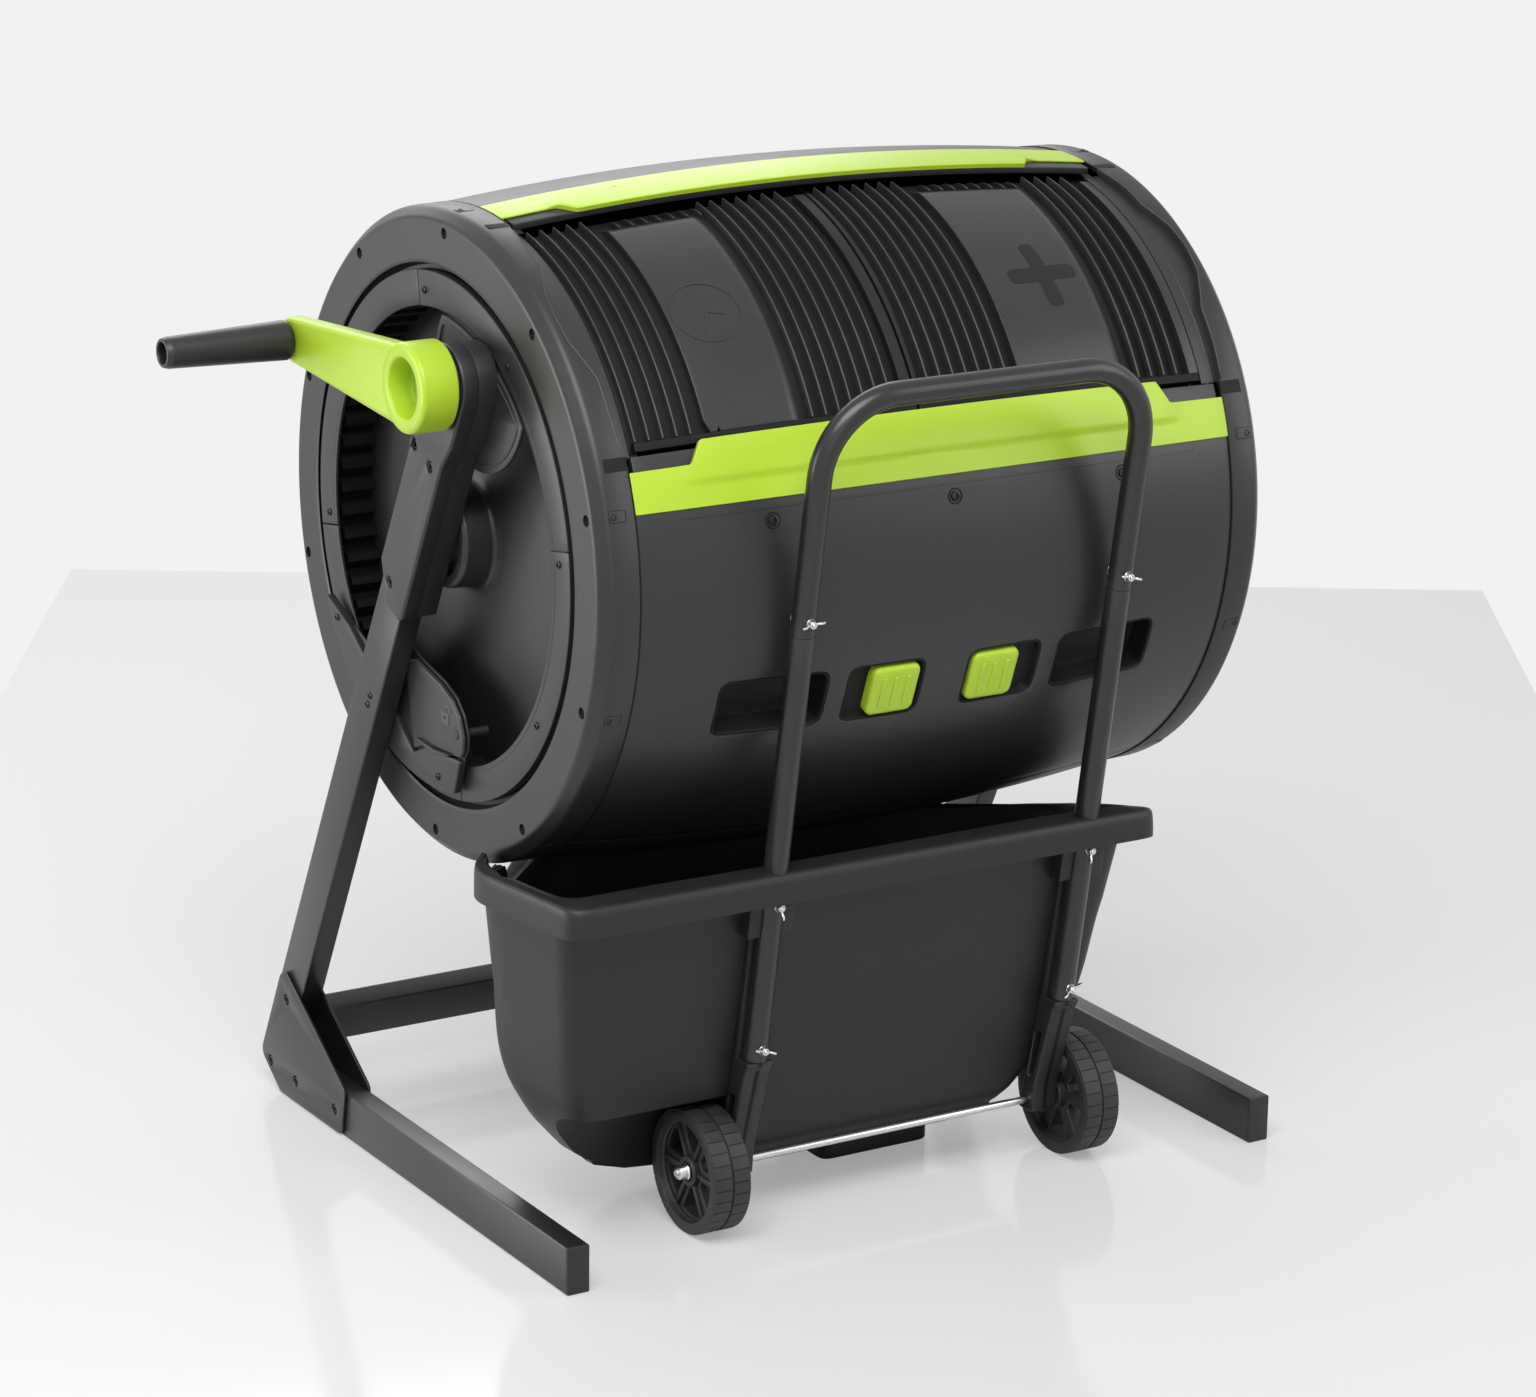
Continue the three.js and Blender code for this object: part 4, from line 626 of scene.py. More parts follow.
def setFasteners():
    group = fastenerTree()
    head, well = headShell(fastenerSizes), wellShell(fastenerSizes)
    # deep screw heads and big wells use the painted-shade finish
    kinds = {"pan": (head, screwSteel, 1.0), "small": (head, screwSteel, 0.72),
             "deep": (head, paintedShadePlastic, 1.05), "bigWell": (well, paintedShadePlastic, 1.1),
             "limeWell": (well, limePlastic, 0.85),}
    for (kind, body), places in fastenerPlaces.items():
        shell, finish, size = kinds[kind]
        master = plainObject("master", shell)
        mesh = bpy.data.meshes.new("places")
        mesh.from_pydata([tuple(np.array(at) / 1000 + origin) for at, _ in places], [], [])
        facing = mesh.attributes.new("facing", "FLOAT_VECTOR", "POINT")
        facing.data.foreach_set("vector", np.array([way for _, way in places], float).ravel())
        made = grown(f"{kind}_heads_{body}", mesh, group, {"Head": master, "Size": size, "Finish": finish})
        bpy.data.objects.remove(master)
        dress(made, body, 30)


# stand

stand = {"legFront": -335, "legRear": 284, "capLong": 2.8, "cornerRadius": 2.0, "wall": 1.6,
         "uprightFoot": 740, "uprightTop": 36, "gussetThick": 3, "crossbarAt": 682}


def tubeSection(grow=0.0):
    half, tall, corner = 12.5 + grow, 25 + grow, stand["cornerRadius"] + grow
    return roundOff(box2d(-half, half, -tall, tall), max(corner, 0.6), 4)


def standTube(start, end):
    return slab(tubeSection(), start, end, [tubeSection(-stand["wall"])], 0.25, 1)


def leaned(shell, x):
    points, faces = shell
    across, up = points[:, 1], points[:, 2]
    y = across * cos(leanAngle) - up * sin(leanAngle)
    z = across * sin(leanAngle) + up * cos(leanAngle)
    return np.c_[points[:, 0] + x, y, z + axisHeight], faces


def buildStand():
    for side, sign in (("left", -1), ("right", 1)):
        x = sign * legMiddle
        capAt = stand["legFront"] + stand["capLong"]
        tube = axes(standTube(capAt, stand["legRear"]), (0, 2, 1))
        piece(f"leg_tube_{side}", [shift(tube, (x, 0, 25))], powderSteel, "stand", [f"leg_{side}"])
        cap = slab(tubeSection(0), stand["legFront"], capAt - 0.25, (), 0.7, 2)
        piece(f"leg_end_{side}", [shift(axes(cap, (0, 2, 1)), (x, 0, 25))], innerPlastic, "stand",
              [f"leg_cap_{side}"])
        upright = leaned(standTube(-stand["uprightFoot"], stand["uprightTop"]), x)
        piece(f"upright_tube_{side}", [upright], powderSteel, "stand", [f"upright_{side}"])
        layers = {"outer": stanceOuter + 0.3, "inner": stanceInner - 0.3 - stand["gussetThick"]}
        for layer, at in layers.items():
            outline = roundOff([(152, 1), (300, 1), (347, 34), (297, 137), (283, 145), (143, 53)],
                               [10, 12, 14, 9, 8, 12], 6)
            heads = ((281.7, 112.9), (323.4, 29.7), (261.8, 25.9), (168.4, 25.5))
            holes = [circle(5.9, 24, head) for head in heads]
            plate = plateX(outline, at, at + stand["gussetThick"], holes, 0.9)
            if sign < 0:
                plate = mirrored(plate)
            piece(f"gusset_plate_{layer}_{side}", [plate], powderSteel, "stand", [f"gusset_{layer}_{side}"])
            out = 1 if layer == "outer" else -1
            face = stanceOuter + 0.4 if out > 0 else stanceInner - 0.4
            fasten("pan", "stand", [((sign * face, y, z), (sign * out, 0, 0)) for y, z in heads])
        fasten("small", "stand", [((sign * stanceOuter, y, z), (sign, 0, 0))
                                  for y, z in ((81.7, 505), (87.6, 494.5))])
    half = stanceInner - 3.6
    y, z = alongUpright(-stand["crossbarAt"])
    bar = shift(leaned(axes(standTube(-half, half), (2, 0, 1)), 0), (0, y, z))
    piece("crossbar_tube", [bar], powderSteel, "stand", ["rear_crossbar"])


buildStand()
print("stand built")

# drum ends

ends = {"tabs": (164.2, 199.8, 236, 272, 308, 344, 20, 56, 92.2),
        "screwedTabs": (164.2, 199.8, 20, 56, 92.2), "coverRadius": 332, "ringInner": 272,
        "screwRadius": 310.2, "screwCount": 10, "screwStart": 20.2, "gearOuter": 268, "gearInner": 232,
        "seam": 80.2, "dishRadius": 262.5, "dishFloor": 340, "hubRadius": 52, "hubFace": 388,
        "gearFront": 379.8,}
# the edge of the cover along the bay: turn, distance from the centre plane
wavyEdge = ((103.4, 348.4), (104.5, 348.6), (110.6, 353), (116, 353), (122.5, 366.5), (127.5, 370),
            (133.2, 368), (140.8, 352.8), (148, 352.5), (154.1, 350.5))


def coverShell():
    r, f, inner = ends["coverRadius"], drum["faceHalf"], ends["ringInner"]
    outer = np.array(roundOff([(-f, inner), (-f, 320), (-f + 11, r - 0.4),
                               (-drum["bodyHalf"] - 0.5, r + 0.2)], [2.2, 6, 8, 0], 9))
    wavyTurns, wavyPlaces = np.array(wavyEdge).T
    turns = [*np.arange(154.4, 463.15, 2.25), 463.1, *np.arange(463.4, 514.15, 0.75), 514.1]
    rings = []
    for turn in turns:
        turn %= 360
        inBay = wavyTurns[0] - 0.1 < turn < wavyTurns[-1] + 0.1
        reach = -np.interp(turn, wavyTurns, wavyPlaces) if inBay else -drum["bodyHalf"] - 0.5
        low = 322.4 if inBay else r - 4.5
        kept = outer[outer[:, 0] < reach - 1.8]
        top = np.interp(reach, outer[5:, 0], outer[5:, 1])
        run = np.r_[0, np.cumsum(np.linalg.norm(np.diff(kept, axis=0), axis=1))]
        places = np.linspace(0, run[-1], 34)
        section = list(np.c_[np.interp(places, run, kept[:, 0]), np.interp(places, run, kept[:, 1])])
        section += [(reach - 1.1, top), (reach - 0.4, top - 0.35), (reach, top - 1.1), (reach, low),
                    (reach - 5, low), (-f + 12, min(low, 320)), (-f + 4, 309), (-f + 4, inner + 4),
                    (-f + 17, inner + 4), (-f + 17, 268), (-f + 13, 268), (-f + 13, inner)]
        c, d = cos(radians(turn)), sin(radians(turn))
        rings.append([(x, rr * c, axisHeight + rr * d) for x, rr in section])
    return loft(rings + [rings[0]], False)


def drilled(shell, spots, radius, deep):
    cups, count = [], 0
    for y, z in spots:
        profile = [(-drum["faceHalf"] - 2, 0), (-drum["faceHalf"] - 2, radius),
                   (-drum["faceHalf"] + deep, radius), (-drum["faceHalf"] + deep, 0)]
        points, faces = turned(profile, 24, (y, z + axisHeight))
        cups.append((points, [tuple(k + count for k in face) for face in faces]))
        count += len(points)
    tool = np.vstack([points for points, _ in cups]), [face for _, faces in cups for face in faces]
    return without(shell, [tool])


def sector(inner, outer, x0, x1, start, end, edge):
    steps = max(6, int((end - start) / 2.5))
    outline = arc(outer, start, end, steps) + arc(inner, end, start, steps)
    return plateX(outline, x0, x1, (), edge, axisHeight)


def gearCover(start, end):
    f = drum["faceHalf"]
    shells = [sector(ends["gearInner"], ends["gearOuter"], -f, -f + 3.5, start, end, 1.0)]
    shells.append(sector(ends["gearOuter"] - 4, ends["gearOuter"], -f + 1.2, -f + 9, start, end, 0.6))
    shells.append(sector(ends["gearInner"] + 5, ends["gearInner"] + 6.4, -f - 0.25, -f + 1, start + 1,
                         end - 1, 0.2))
    return shells


def dishShell():
    floor, r, face = ends["dishFloor"], ends["dishRadius"], ends["hubFace"]
    outer = [(-ends["gearFront"], r + 4), (-ends["gearFront"], r), (-floor - 2, r - 1),
             (-floor - 1, r - 14)]
    hub = [(-floor - 12, ends["hubRadius"] + 12), (-floor - 14, ends["hubRadius"] + 2),
           (-face + 4, ends["hubRadius"]), (-face, ends["hubRadius"] - 3), (-face, ends["hubRadius"] - 12),
           (-face + 6, ends["hubRadius"] - 13), (-face + 6, 27), (-face, 26.5), (-face, 22.4),
           (-floor - 1, 22.4), (-floor - 1, 0)]
    inside = [(-floor + 4, 0), (-floor + 4, r + 4)]
    profile = outer + hub + inside
    radii = [1, 2, 12, 1] + [10, 6, 4, 2.5, 1.5, 1, 1, 1, 1, 0.5, 0, 0, 2]
    return lathe(profile, radii, 4, 144, (0, axisHeight))


def buildEnds():
    f = drum["faceHalf"]
    screws = [polar(ends["screwRadius"], ends["screwStart"] + 36 * k) for k in range(ends["screwCount"])]
    cover = drilled(coverShell(), screws, 5.8, 3.4)
    for side, sign in (("left", -1), ("right", 1)):
        turn = mirrored if sign > 0 else (lambda shell: shell)
        piece(f"end_shell_{side}", [turn(cover)], blackPlastic, "drum", [f"end_cover_{side}"])
        piece(f"dish_shell_{side}", [turn(dishShell())], blackPlastic, "drum", [f"end_dish_{side}"])
        way = (sign, 0, 0)
        fasten("deep", "drum", [((sign * (f - 5), y, z + axisHeight), way) for y, z in screws])
        # painted highlight: a thin light bead along the wavy edge of the cover stands in for the bright edge
        # line
        wave = [(-np.interp(t, *np.array(wavyEdge).T) - 0.7, *polar(ends["coverRadius"] - 0.25, t))
                for t in np.arange(104.2, 153.4, 0.7)]
        highlightBead = tubeAlong([(x, y, z + axisHeight) for x, y, z in wave], 0.6, 10)
        piece(f"bay_bead_{side}", [turn(highlightBead)], markAndHighlightPlastic, "drum")
        r = ends["coverRadius"] + 0.3
        # dark seam lines in the painted-shade finish
        seams = [sector(r - 3, r, -drum["bodyHalf"] - 0.8, -drum["bodyHalf"] + 0.8, 156.3, 461.2, 0.15),
                 sector(r - 3, r, -372, -drum["bodyHalf"], 154.6, 156.9, 0.3),
                 sector(r - 3, r, -371, -drum["bodyHalf"], 101.1, 102.7, 0.3)]
        piece(f"cover_seams_{side}", [turn(shell) for shell in seams], paintedShadePlastic, "drum")
        tabs = []
        frames = []
        for angle in ends["tabs"]:
            x = sign * 370.6
            way = drumPoint(x, angle)[1]
            radial = np.array(way)
            base = np.array([x, 0, axisHeight]) + radial * (ends["coverRadius"] - 0.1)
            if angle in ends["screwedTabs"]:
                fasten("small", "drum", [(tuple(base - radial * 0.9), way)])
            points, faces = slab(roundOff(box2d(-4.5, 13, -5.5, 5.5), 2.2, 3), -2, 0.35, (), 0.3)
            world = base + points @ np.array([[-sign, 0, 0], [0, -way[2], way[1]], radial])
            tabs.append((world, faces))
            frames.append((base + (world - base) * 1.09 - radial * 0.25, faces))
        piece(f"band_tabs_{side}", tabs, blackPlastic, "drum")
        # the dark gaps round the tabs are painted shade
        piece(f"tab_gaps_{side}", frames, paintedShadePlastic, "drum")
    for quarter in range(4):
        start = ends["seam"] + 90 * quarter + 0.12
        piece(f"gear_cover_shell_{quarter + 1}", gearCover(start, start + 89.76), blackPlastic, "drum",
              [f"gear_cover_{quarter + 1}"])
        spots = [polar(248, start + 2.9), polar(248, start + 44.9)]
        fasten("small", "drum", [((-f - 0.1, y, z + axisHeight), (-1, 0, 0)) for y, z in spots])
    ring = lathe([
        (f, 232), (f, 268), (f - 9, 268), (f - 9, 264), (f - 3.5, 264), (f - 3.5, 232)],
        [1.2, 1.5, 0.5, 0.5, 0.5, 0.5], 3, 144, (0, axisHeight))
    piece("ring_cover_shell", [ring], blackPlastic, "drum", ["ring_cover_right"])
    spots = [polar(248, 35.2 + 90 * k) for k in range(4)]
    fasten("small", "drum", [((f + 0.1, y, z + axisHeight), (1, 0, 0)) for y, z in spots])


buildEnds()
print("drum ends built")

# barrel panels, with their pockets

pockets = {
    "turn": 200, "tall": 66, "handSpan": (135, 256), "handDeep": 26, "ventSpan": (25, 114), "ventDeep": 9,
    "corner": 14, "seam": 0.1,
}


def pocketOutline(x0, x1, grow):
    s = arcLength(pockets["turn"])
    half = pockets["tall"] / 2 + grow
    return roundOff(box2d(x0 - grow, x1 + grow, s - half, s + half), pockets["corner"] + grow, 7)


def tray(x0, x1, deep):
    levels = [(1.6, -4.2), (0.0, -3.2), (0.0, -1.4), (-0.7, -0.5), (-1.8, -0.5), (-2.6, -1.6), (-3.0, -5),
              (-4.2, 3.5 - deep), (-5.4, 1.2 - deep), (-8, -deep)]
    if deep < 12:
        levels = [(1.6, -4.2), (0.0, -3.2), (0.0, -1.0), (-0.6, -0.3), (-1.6, -0.3), (-2.4, -1.4),
                  (-3.0, 2.5 - deep), (-4.2, 0.7 - deep), (-6, -deep)]
    rings = [[(x, s, h) for x, s in pocketOutline(x0, x1, grow)] for grow, h in levels]
    back = [[(x, s, h) for x, s in pocketOutline(x0, x1, grow)]
            for grow, h in ((-6, -deep - 2.5), (1.6, -6.5))]
    points, faces = loft(rings + back, False)
    count, total = len(rings[0]), len(rings) + 1
    floor = tuple((len(rings) - 1) * count + j for j in range(count))
    under = tuple(len(rings) * count + j for j in range(count))
    faces = [f for f in faces if not (max(f) // count == len(rings) and min(f) // count == len(rings) - 1)]
    faces += [floor, under[::-1]]
    last = total * count
    faces += [(last + j, last + (j + 1) % count, (j + 1) % count, j) for j in range(count)]
    bm = toBmesh((points, faces))
    bmesh.ops.triangulate(bm, faces=[face for face in bm.faces if len(face.verts) > 4])
    points, faces = fromBmesh(bm)
    xs = np.arange(x0 + 12, x1 - 6, 12)
    points, faces = gridCut((points, faces), xs, [arcLength(pockets["turn"] + k) for k in (-2, 0, 2)])
    return onDrum(points), faces


def buildPanels():
    half = drum["bodyHalf"] - 0.3
    spans = {"front_panel": 164.2, "bottom_panel": 236.2, "rear_lower_panel": 308.2,
             "rear_upper_panel": 20.2}
    for node, start in spans.items():
        a, b = start + pockets["seam"], start + 72 - pockets["seam"]
        holes = []
        shells = []
        trays = []
        if node == "front_panel":
            for span, deep in ((pockets["handSpan"], pockets["handDeep"]),
                               (pockets["ventSpan"], pockets["ventDeep"])):
                for x0, x1 in (span, (-span[1], -span[0])):
                    holes.append([(x, turnAt(s)) for x, s in pocketOutline(x0, x1, 0.2)])
                    trays.append(tray(x0, x1, deep))
            # pocket insides in the painted-shade finish
            piece("pocket_trays", trays, paintedShadePlastic, "drum")
            shells.append(skin(roundOff(box2d(-341, 341, 154.8, a + 0.6), 0), -8, -0.8, (), 0.8))
            shells.append(skin(roundOff(box2d(-300, 300, 165.7, 166.1), 0), -1, 0.5, (), 0.3, None, 14, 4))
            fasten("bigWell", "drum", [drumPoint(x, 168, 0.1) for x in (-204, 0, 204)])
            fasten("pan", "drum", [drumPoint(x, 168, -0.8) for x in (-204, 0, 204)])
        shells.append(skin(box2d(-half, half, b - 1, b + 1.2), -6.5, -4.5, (), 0.4))
        if node == "rear_upper_panel":
            shells.append(skin(roundOff(box2d(-341, 341, b - 0.6, 101.6), 0), -8, -0.8, (), 0.8))
        shells.append(skin(box2d(-half, half, a, b), -4, 0, holes, 1.0))
        piece(f"{node}_shell", shells, blackPlastic, "drum", [node])


buildPanels()
print("panels built")

# lime grip strips, each with a lip towards the doors

strips = {"proud": 1.6, "lipRise": 2.95, "slant": 13, "screwX": (-206, 0, 206), "screwTurn": 95.9}


def stripShell(base, edge, lip, lipLeft, lipRight):
    slant = strips["slant"]
    out = 1 if lip > base else -1
    outline = [(-346.5, base), (346.5, base), (346.5, edge), (lipRight + slant, edge), (lipRight, lip),
               (lipLeft, lip), (lipLeft - slant, edge), (-346.5, edge)]
    points2d = [(x, arcLength(t)) for x, t in outline]
    rounded = roundOff(points2d, [1.5, 1.5, 1.5, 5, 5, 5, 5, 1.5], 4)
    outline = [(x, turnAt(s)) for x, s in rounded]
    creaseTurn = edge - out * 3.2

    def lift(points):
        turn = np.degrees(points[:, 1] / drum["midRadius"])
        rise = np.clip((turn - creaseTurn) * out / 0.5, 0, 1)
        inside = np.clip((points[:, 0] - (lipLeft - slant - 10)) / 12, 0, 1)
        inside *= np.clip(((lipRight + slant + 10) - points[:, 0]) / 12, 0, 1)
        moved = points.copy()
        moved[:, 2] += strips["lipRise"] * rise * inside * (points[:, 2] > -0.3)
        return moved
    return skin(outline, -0.5, strips["proud"], (), 0.7, lift, 12, 0.5)


def buildStrips():
    for where, *sizes in (("top", 91.3, 99.0, 102.0, -272, 258), ("front", 164.4, 157.4, 153.6, -270, 262)):
        piece(f"lime_strip_{where}", [stripShell(*sizes)], limePlastic, "drum", [f"strip_{where}"])
    for kind, sunk in (("deep", 2.5), ("limeWell", 0)):
        fasten(kind, "drum", [drumPoint(x, strips["screwTurn"], strips["proud"] - sunk)
                              for x in strips["screwX"]])


buildStrips()
print("strips built")

# doors, their ribs and the borders of the bay

doors = {
    "start": 102.4, "end": 153.8, "low": -18.5, "floor": -16.8, "top": -8.9, "edge": 334, "shoulder": 330.5,
    "seam": -20, "gap": 3.2, "blade": 2.0, "lip": 1.5,
    "leftGroups": ((-138.0, 7, 15.0), (-328.4, 5, 14.6)),
    "rightGroups": ((-1.5, 7, 15.4), (252.8, 4, 16.5)),
    "leftCombs": (-239, 7, 15.2), "rightCombs": (121.9, 8, 15.4), "combEnd": 107.2,
}


def ribTree():
    tree, keys, graph, wires = nodeGroup("ribs", {
        "Geometry": "Geometry", "First": "Float", "Pitch": "Float", "Count": "Int", "Radius": "Float",
        "High": "Float", "Wide": "Float", "Start": "Float", "Sweep": "Float", "Fall": "Float",
        "Steps": "Int", "Finish": "Material"})
    path = graph.node("GeometryNodeCurveArc", {"mode": "RADIUS"}, {
        "Resolution": wires["Steps"], "Radius": wires["Radius"], "Start Angle": wires["Start"],
        "Sweep Angle": wires["Sweep"]})
    along = graph.node("GeometryNodeSplineParameter", out="Factor")
    near = graph.node("ShaderNodeMath", {"operation": "MINIMUM"}, [along, 1 - along])
    near = graph.node("ShaderNodeMath", {"operation": "MINIMUM"}, [near * 60, 1.0])
    path = graph.node("GeometryNodeSetCurveRadius", None,
                      {"Curve": path, "Radius": (near * (2.02 - near)) ** 0.5})
    section = graph.node("GeometryNodeCurvePrimitiveQuadrilateral", {"mode": "RECTANGLE"}, {
        "Width": wires["High"], "Height": wires["Wide"]})
    section = graph.node("GeometryNodeFilletCurve", {"mode": "POLY"}, {
        "Curve": section, "Radius": wires["Wide"] * 0.3, "Count": 2})
    rib = graph.node("GeometryNodeCurveToMesh", None, {
        "Curve": path, "Profile Curve": section, "Fill Caps": True})
    rib = graph.node("GeometryNodeTransform", None, {
        "Geometry": rib, "Rotation": (pi / 2, 0, pi / 2)})
    first = graph.node("ShaderNodeCombineXYZ", None, [wires["First"]])
    step = graph.node("ShaderNodeCombineXYZ", None, [wires["Pitch"]])
    line = graph.node("GeometryNodeMeshLine", {"mode": "OFFSET"}, {
        "Count": wires["Count"], "Start Location": first, "Offset": step})
    place = graph.node("GeometryNodeInputPosition")
    x = graph.node("ShaderNodeSeparateXYZ", None, [place])
    shrink = 1 - wires["Fall"] * x * x
    scale = graph.node("ShaderNodeCombineXYZ", None, [1.0, shrink, shrink])
    ribs = graph.node("GeometryNodeInstanceOnPoints", None, {
        "Points": line, "Instance": rib, "Scale": scale})
    closeGroup(graph, ribs, wires["Finish"])
    return tree, keys


ribGroup = ribTree()


def ribs(name, body, first, count, pitch, start, end, finish):
    top, high = doors["top"], doors["top"] - doors["floor"] + 0.8
    radius = drum["midRadius"] + top - high / 2
    fall = (drum["midRadius"] - drum["endRadius"]) / drum["bodyHalf"] ** 2 / radius
    values = {
        "First": first / 1000, "Pitch": pitch / 1000, "Count": count, "Radius": radius / 1000,
        "High": high / 1000, "Wide": doors["blade"] / 1000, "Start": radians(start),
        "Sweep": radians(end - start), "Fall": fall * 1e6, "Steps": 150, "Finish": finish}
    made = grown(name, bpy.data.meshes.new(name), ribGroup, values)
    made.data.transform(Matrix.Translation((origin[0], origin[1], axisHeight / 1000)))
    dress(made, body, 50)


def emblem(rings, high):
    top = doors["top"]
    return [skin(outline, top - 0.5, top + high, holes, 0.15, None, 14, 2.5) for outline, holes in rings]


def ringOutline(x, turn, radius):
    s = arcLength(turn)
    return [(px, turnAt(ps)) for px, ps in circle(radius, 48, (x, s))]


def barOutline(x, turn, spin, start, end, half):
    s = arcLength(turn)
    c, d = cos(radians(spin)), sin(radians(spin))
    return [(x + a * c - b * d, turnAt(s + a * d + b * c))
            for a, b in roundOff(box2d(start, end, -half, half), half * 0.9, 5)]


def padShell(x0, x1, slope, topSlope=3.4, outline=None):
    low, top = doors["floor"] - 0.6, doors["top"]
    start, end = doors["start"] + 2.4, doors["end"] - doors["lip"]

    def lower(points):
        turn = np.degrees(points[:, 1] / drum["midRadius"])
        moved = points.copy()
        share = np.clip((points[:, 0] - (x1 - slope)) / max(slope, 0.1), 0, 1) if slope else 0 * turn
        if topSlope:
            share = np.maximum(share, np.clip((start + topSlope - turn) / topSlope, 0, 1))
        share = share * share * (3 - 2 * share)
        moved[:, 2] -= share * (top - doors["floor"] - 0.2) * (points[:, 2] > (low + top) / 2)
        return moved
    return skin(outline or box2d(x0, x1, start, end), low, top, (), 0.5, lower, 3.0 if slope else 12, 1.0)


def combShell(x):
    radius = barrel(x)
    floor, top = doors["floor"] - 0.5, doors["top"]
    start, end = doors["start"] + 0.5, doors["combEnd"]
    turns = [start + (end - start) * k / 12 for k in range(13)]
    crown = [polar(radius + floor + (top - floor) * sqrt(1 - (1 - k / 12) ** 2.0), turn)
             for k, turn in enumerate(turns)]
    foot = [polar(radius + floor, turn) for turn in reversed(turns)]
    return plateX(crown + foot[:-1], x - 1.1, x + 1.1, (), 0.4, axisHeight)


def buildDoors():
    low, top, floor = doors["low"], doors["top"], doors["floor"]
    start, end, shoulder = doors["start"], doors["end"], doors["shoulder"]
    inner = doors["seam"] - doors["gap"] / 2, doors["seam"] + doors["gap"] / 2
    floors = {"left": skin(box2d(-doors["edge"], inner[0], start, end), low, floor, (), 0.6),
              "right": skin(box2d(inner[1], doors["edge"], start, end), low, floor, (), 0.6)}
    lips = {"left": skin(box2d(-shoulder, inner[0], end - doors["lip"], end), low, top, (), 0.7),
            "right": skin(box2d(inner[1], shoulder, end - doors["lip"], end), low, top, (), 0.7)}
    # the groove floors and lower lip between the blades are painted shade
    for side, shell in floors.items():
        piece(f"door_floor_{side}", [shell, lips[side]], paintedShadePlastic, f"{side}_door", [f"door_{side}"])
    left = []
    seam = {"left": padShell(-33.5, inner[0], 0, 0), "right": padShell(inner[1], -6.5, 7, 0)}
    for side, shell in seam.items():
        piece(f"door_seam_{side}", [shell], paintedShadeMarkPlastic, f"{side}_door")
    corner = [(-254, 104.6), (-141, 104.6), (-141, 152.3), (-238.6, 152.3), (-240.4, 151.3),
              (-242.4, 152.3), (-249.6, 152.3), (-254, 150.1)]
    left.append(padShell(-254, -141, 20, outline=corner))
    right = [padShell(106.5, 246, 20), padShell(318.5, shoulder, 0, 0)]
    clock = [(ringOutline(-211.5, 130.6, 38), [ringOutline(-211.5, 130.6, 35.6)]),
             (barOutline(-211.5, 130.6, 112, -1, 26, 1.4), ()),
             (barOutline(-211.5, 130.6, 20, -1, 20, 1.4), ())]
    plus = [(barOutline(180, 130.8, -3, -42, 42, 9.5), ()), (barOutline(180, 130.8, 87, -42, 42, 9.5), ())]
    left += [combShell(doors["leftCombs"][0] + doors["leftCombs"][2] * k)
             for k in range(doors["leftCombs"][1])]
    right += [combShell(doors["rightCombs"][0] + doors["rightCombs"][2] * k)
              for k in range(doors["rightCombs"][1])]
    piece("door_pads_left", left, doorPlastic, "left_door")
    piece("door_pads_right", right, doorPlastic, "right_door")
    piece("clock_mark", emblem(clock, 0.6), doorPlastic, "left_door")
    # the plus emblem is drawn raised; its dark finish is painted shade for the recess
    piece("plus_mark", emblem(plus, 0.25), paintedShadeMarkPlastic, "right_door")
    for body, groups, side in (("left_door", doors["leftGroups"], "left"),
                               ("right_door", doors["rightGroups"], "right")):
        for k, (first, count, pitch) in enumerate(groups):
            ribs(f"blades_{side}_{k + 1}", body, first, count, pitch, start + 0.3,
                 end - doors["lip"] - 0.25, bladeHighlightPlastic)


buildDoors()

bay = {"trackWeb": 341, "flange": 18, "wall": 3, "start": 46, "plate": 323.9, "from": 103.0, "to": 154.4}


def sweptRing(section, start, end, steps):
    rings = []
    for k in range(steps + 1):
        turn = radians(start + (end - start) * k / steps)
        rings.append([(x, r * cos(turn), axisHeight + r * sin(turn)) for x, r in section])
    return loft(rings)


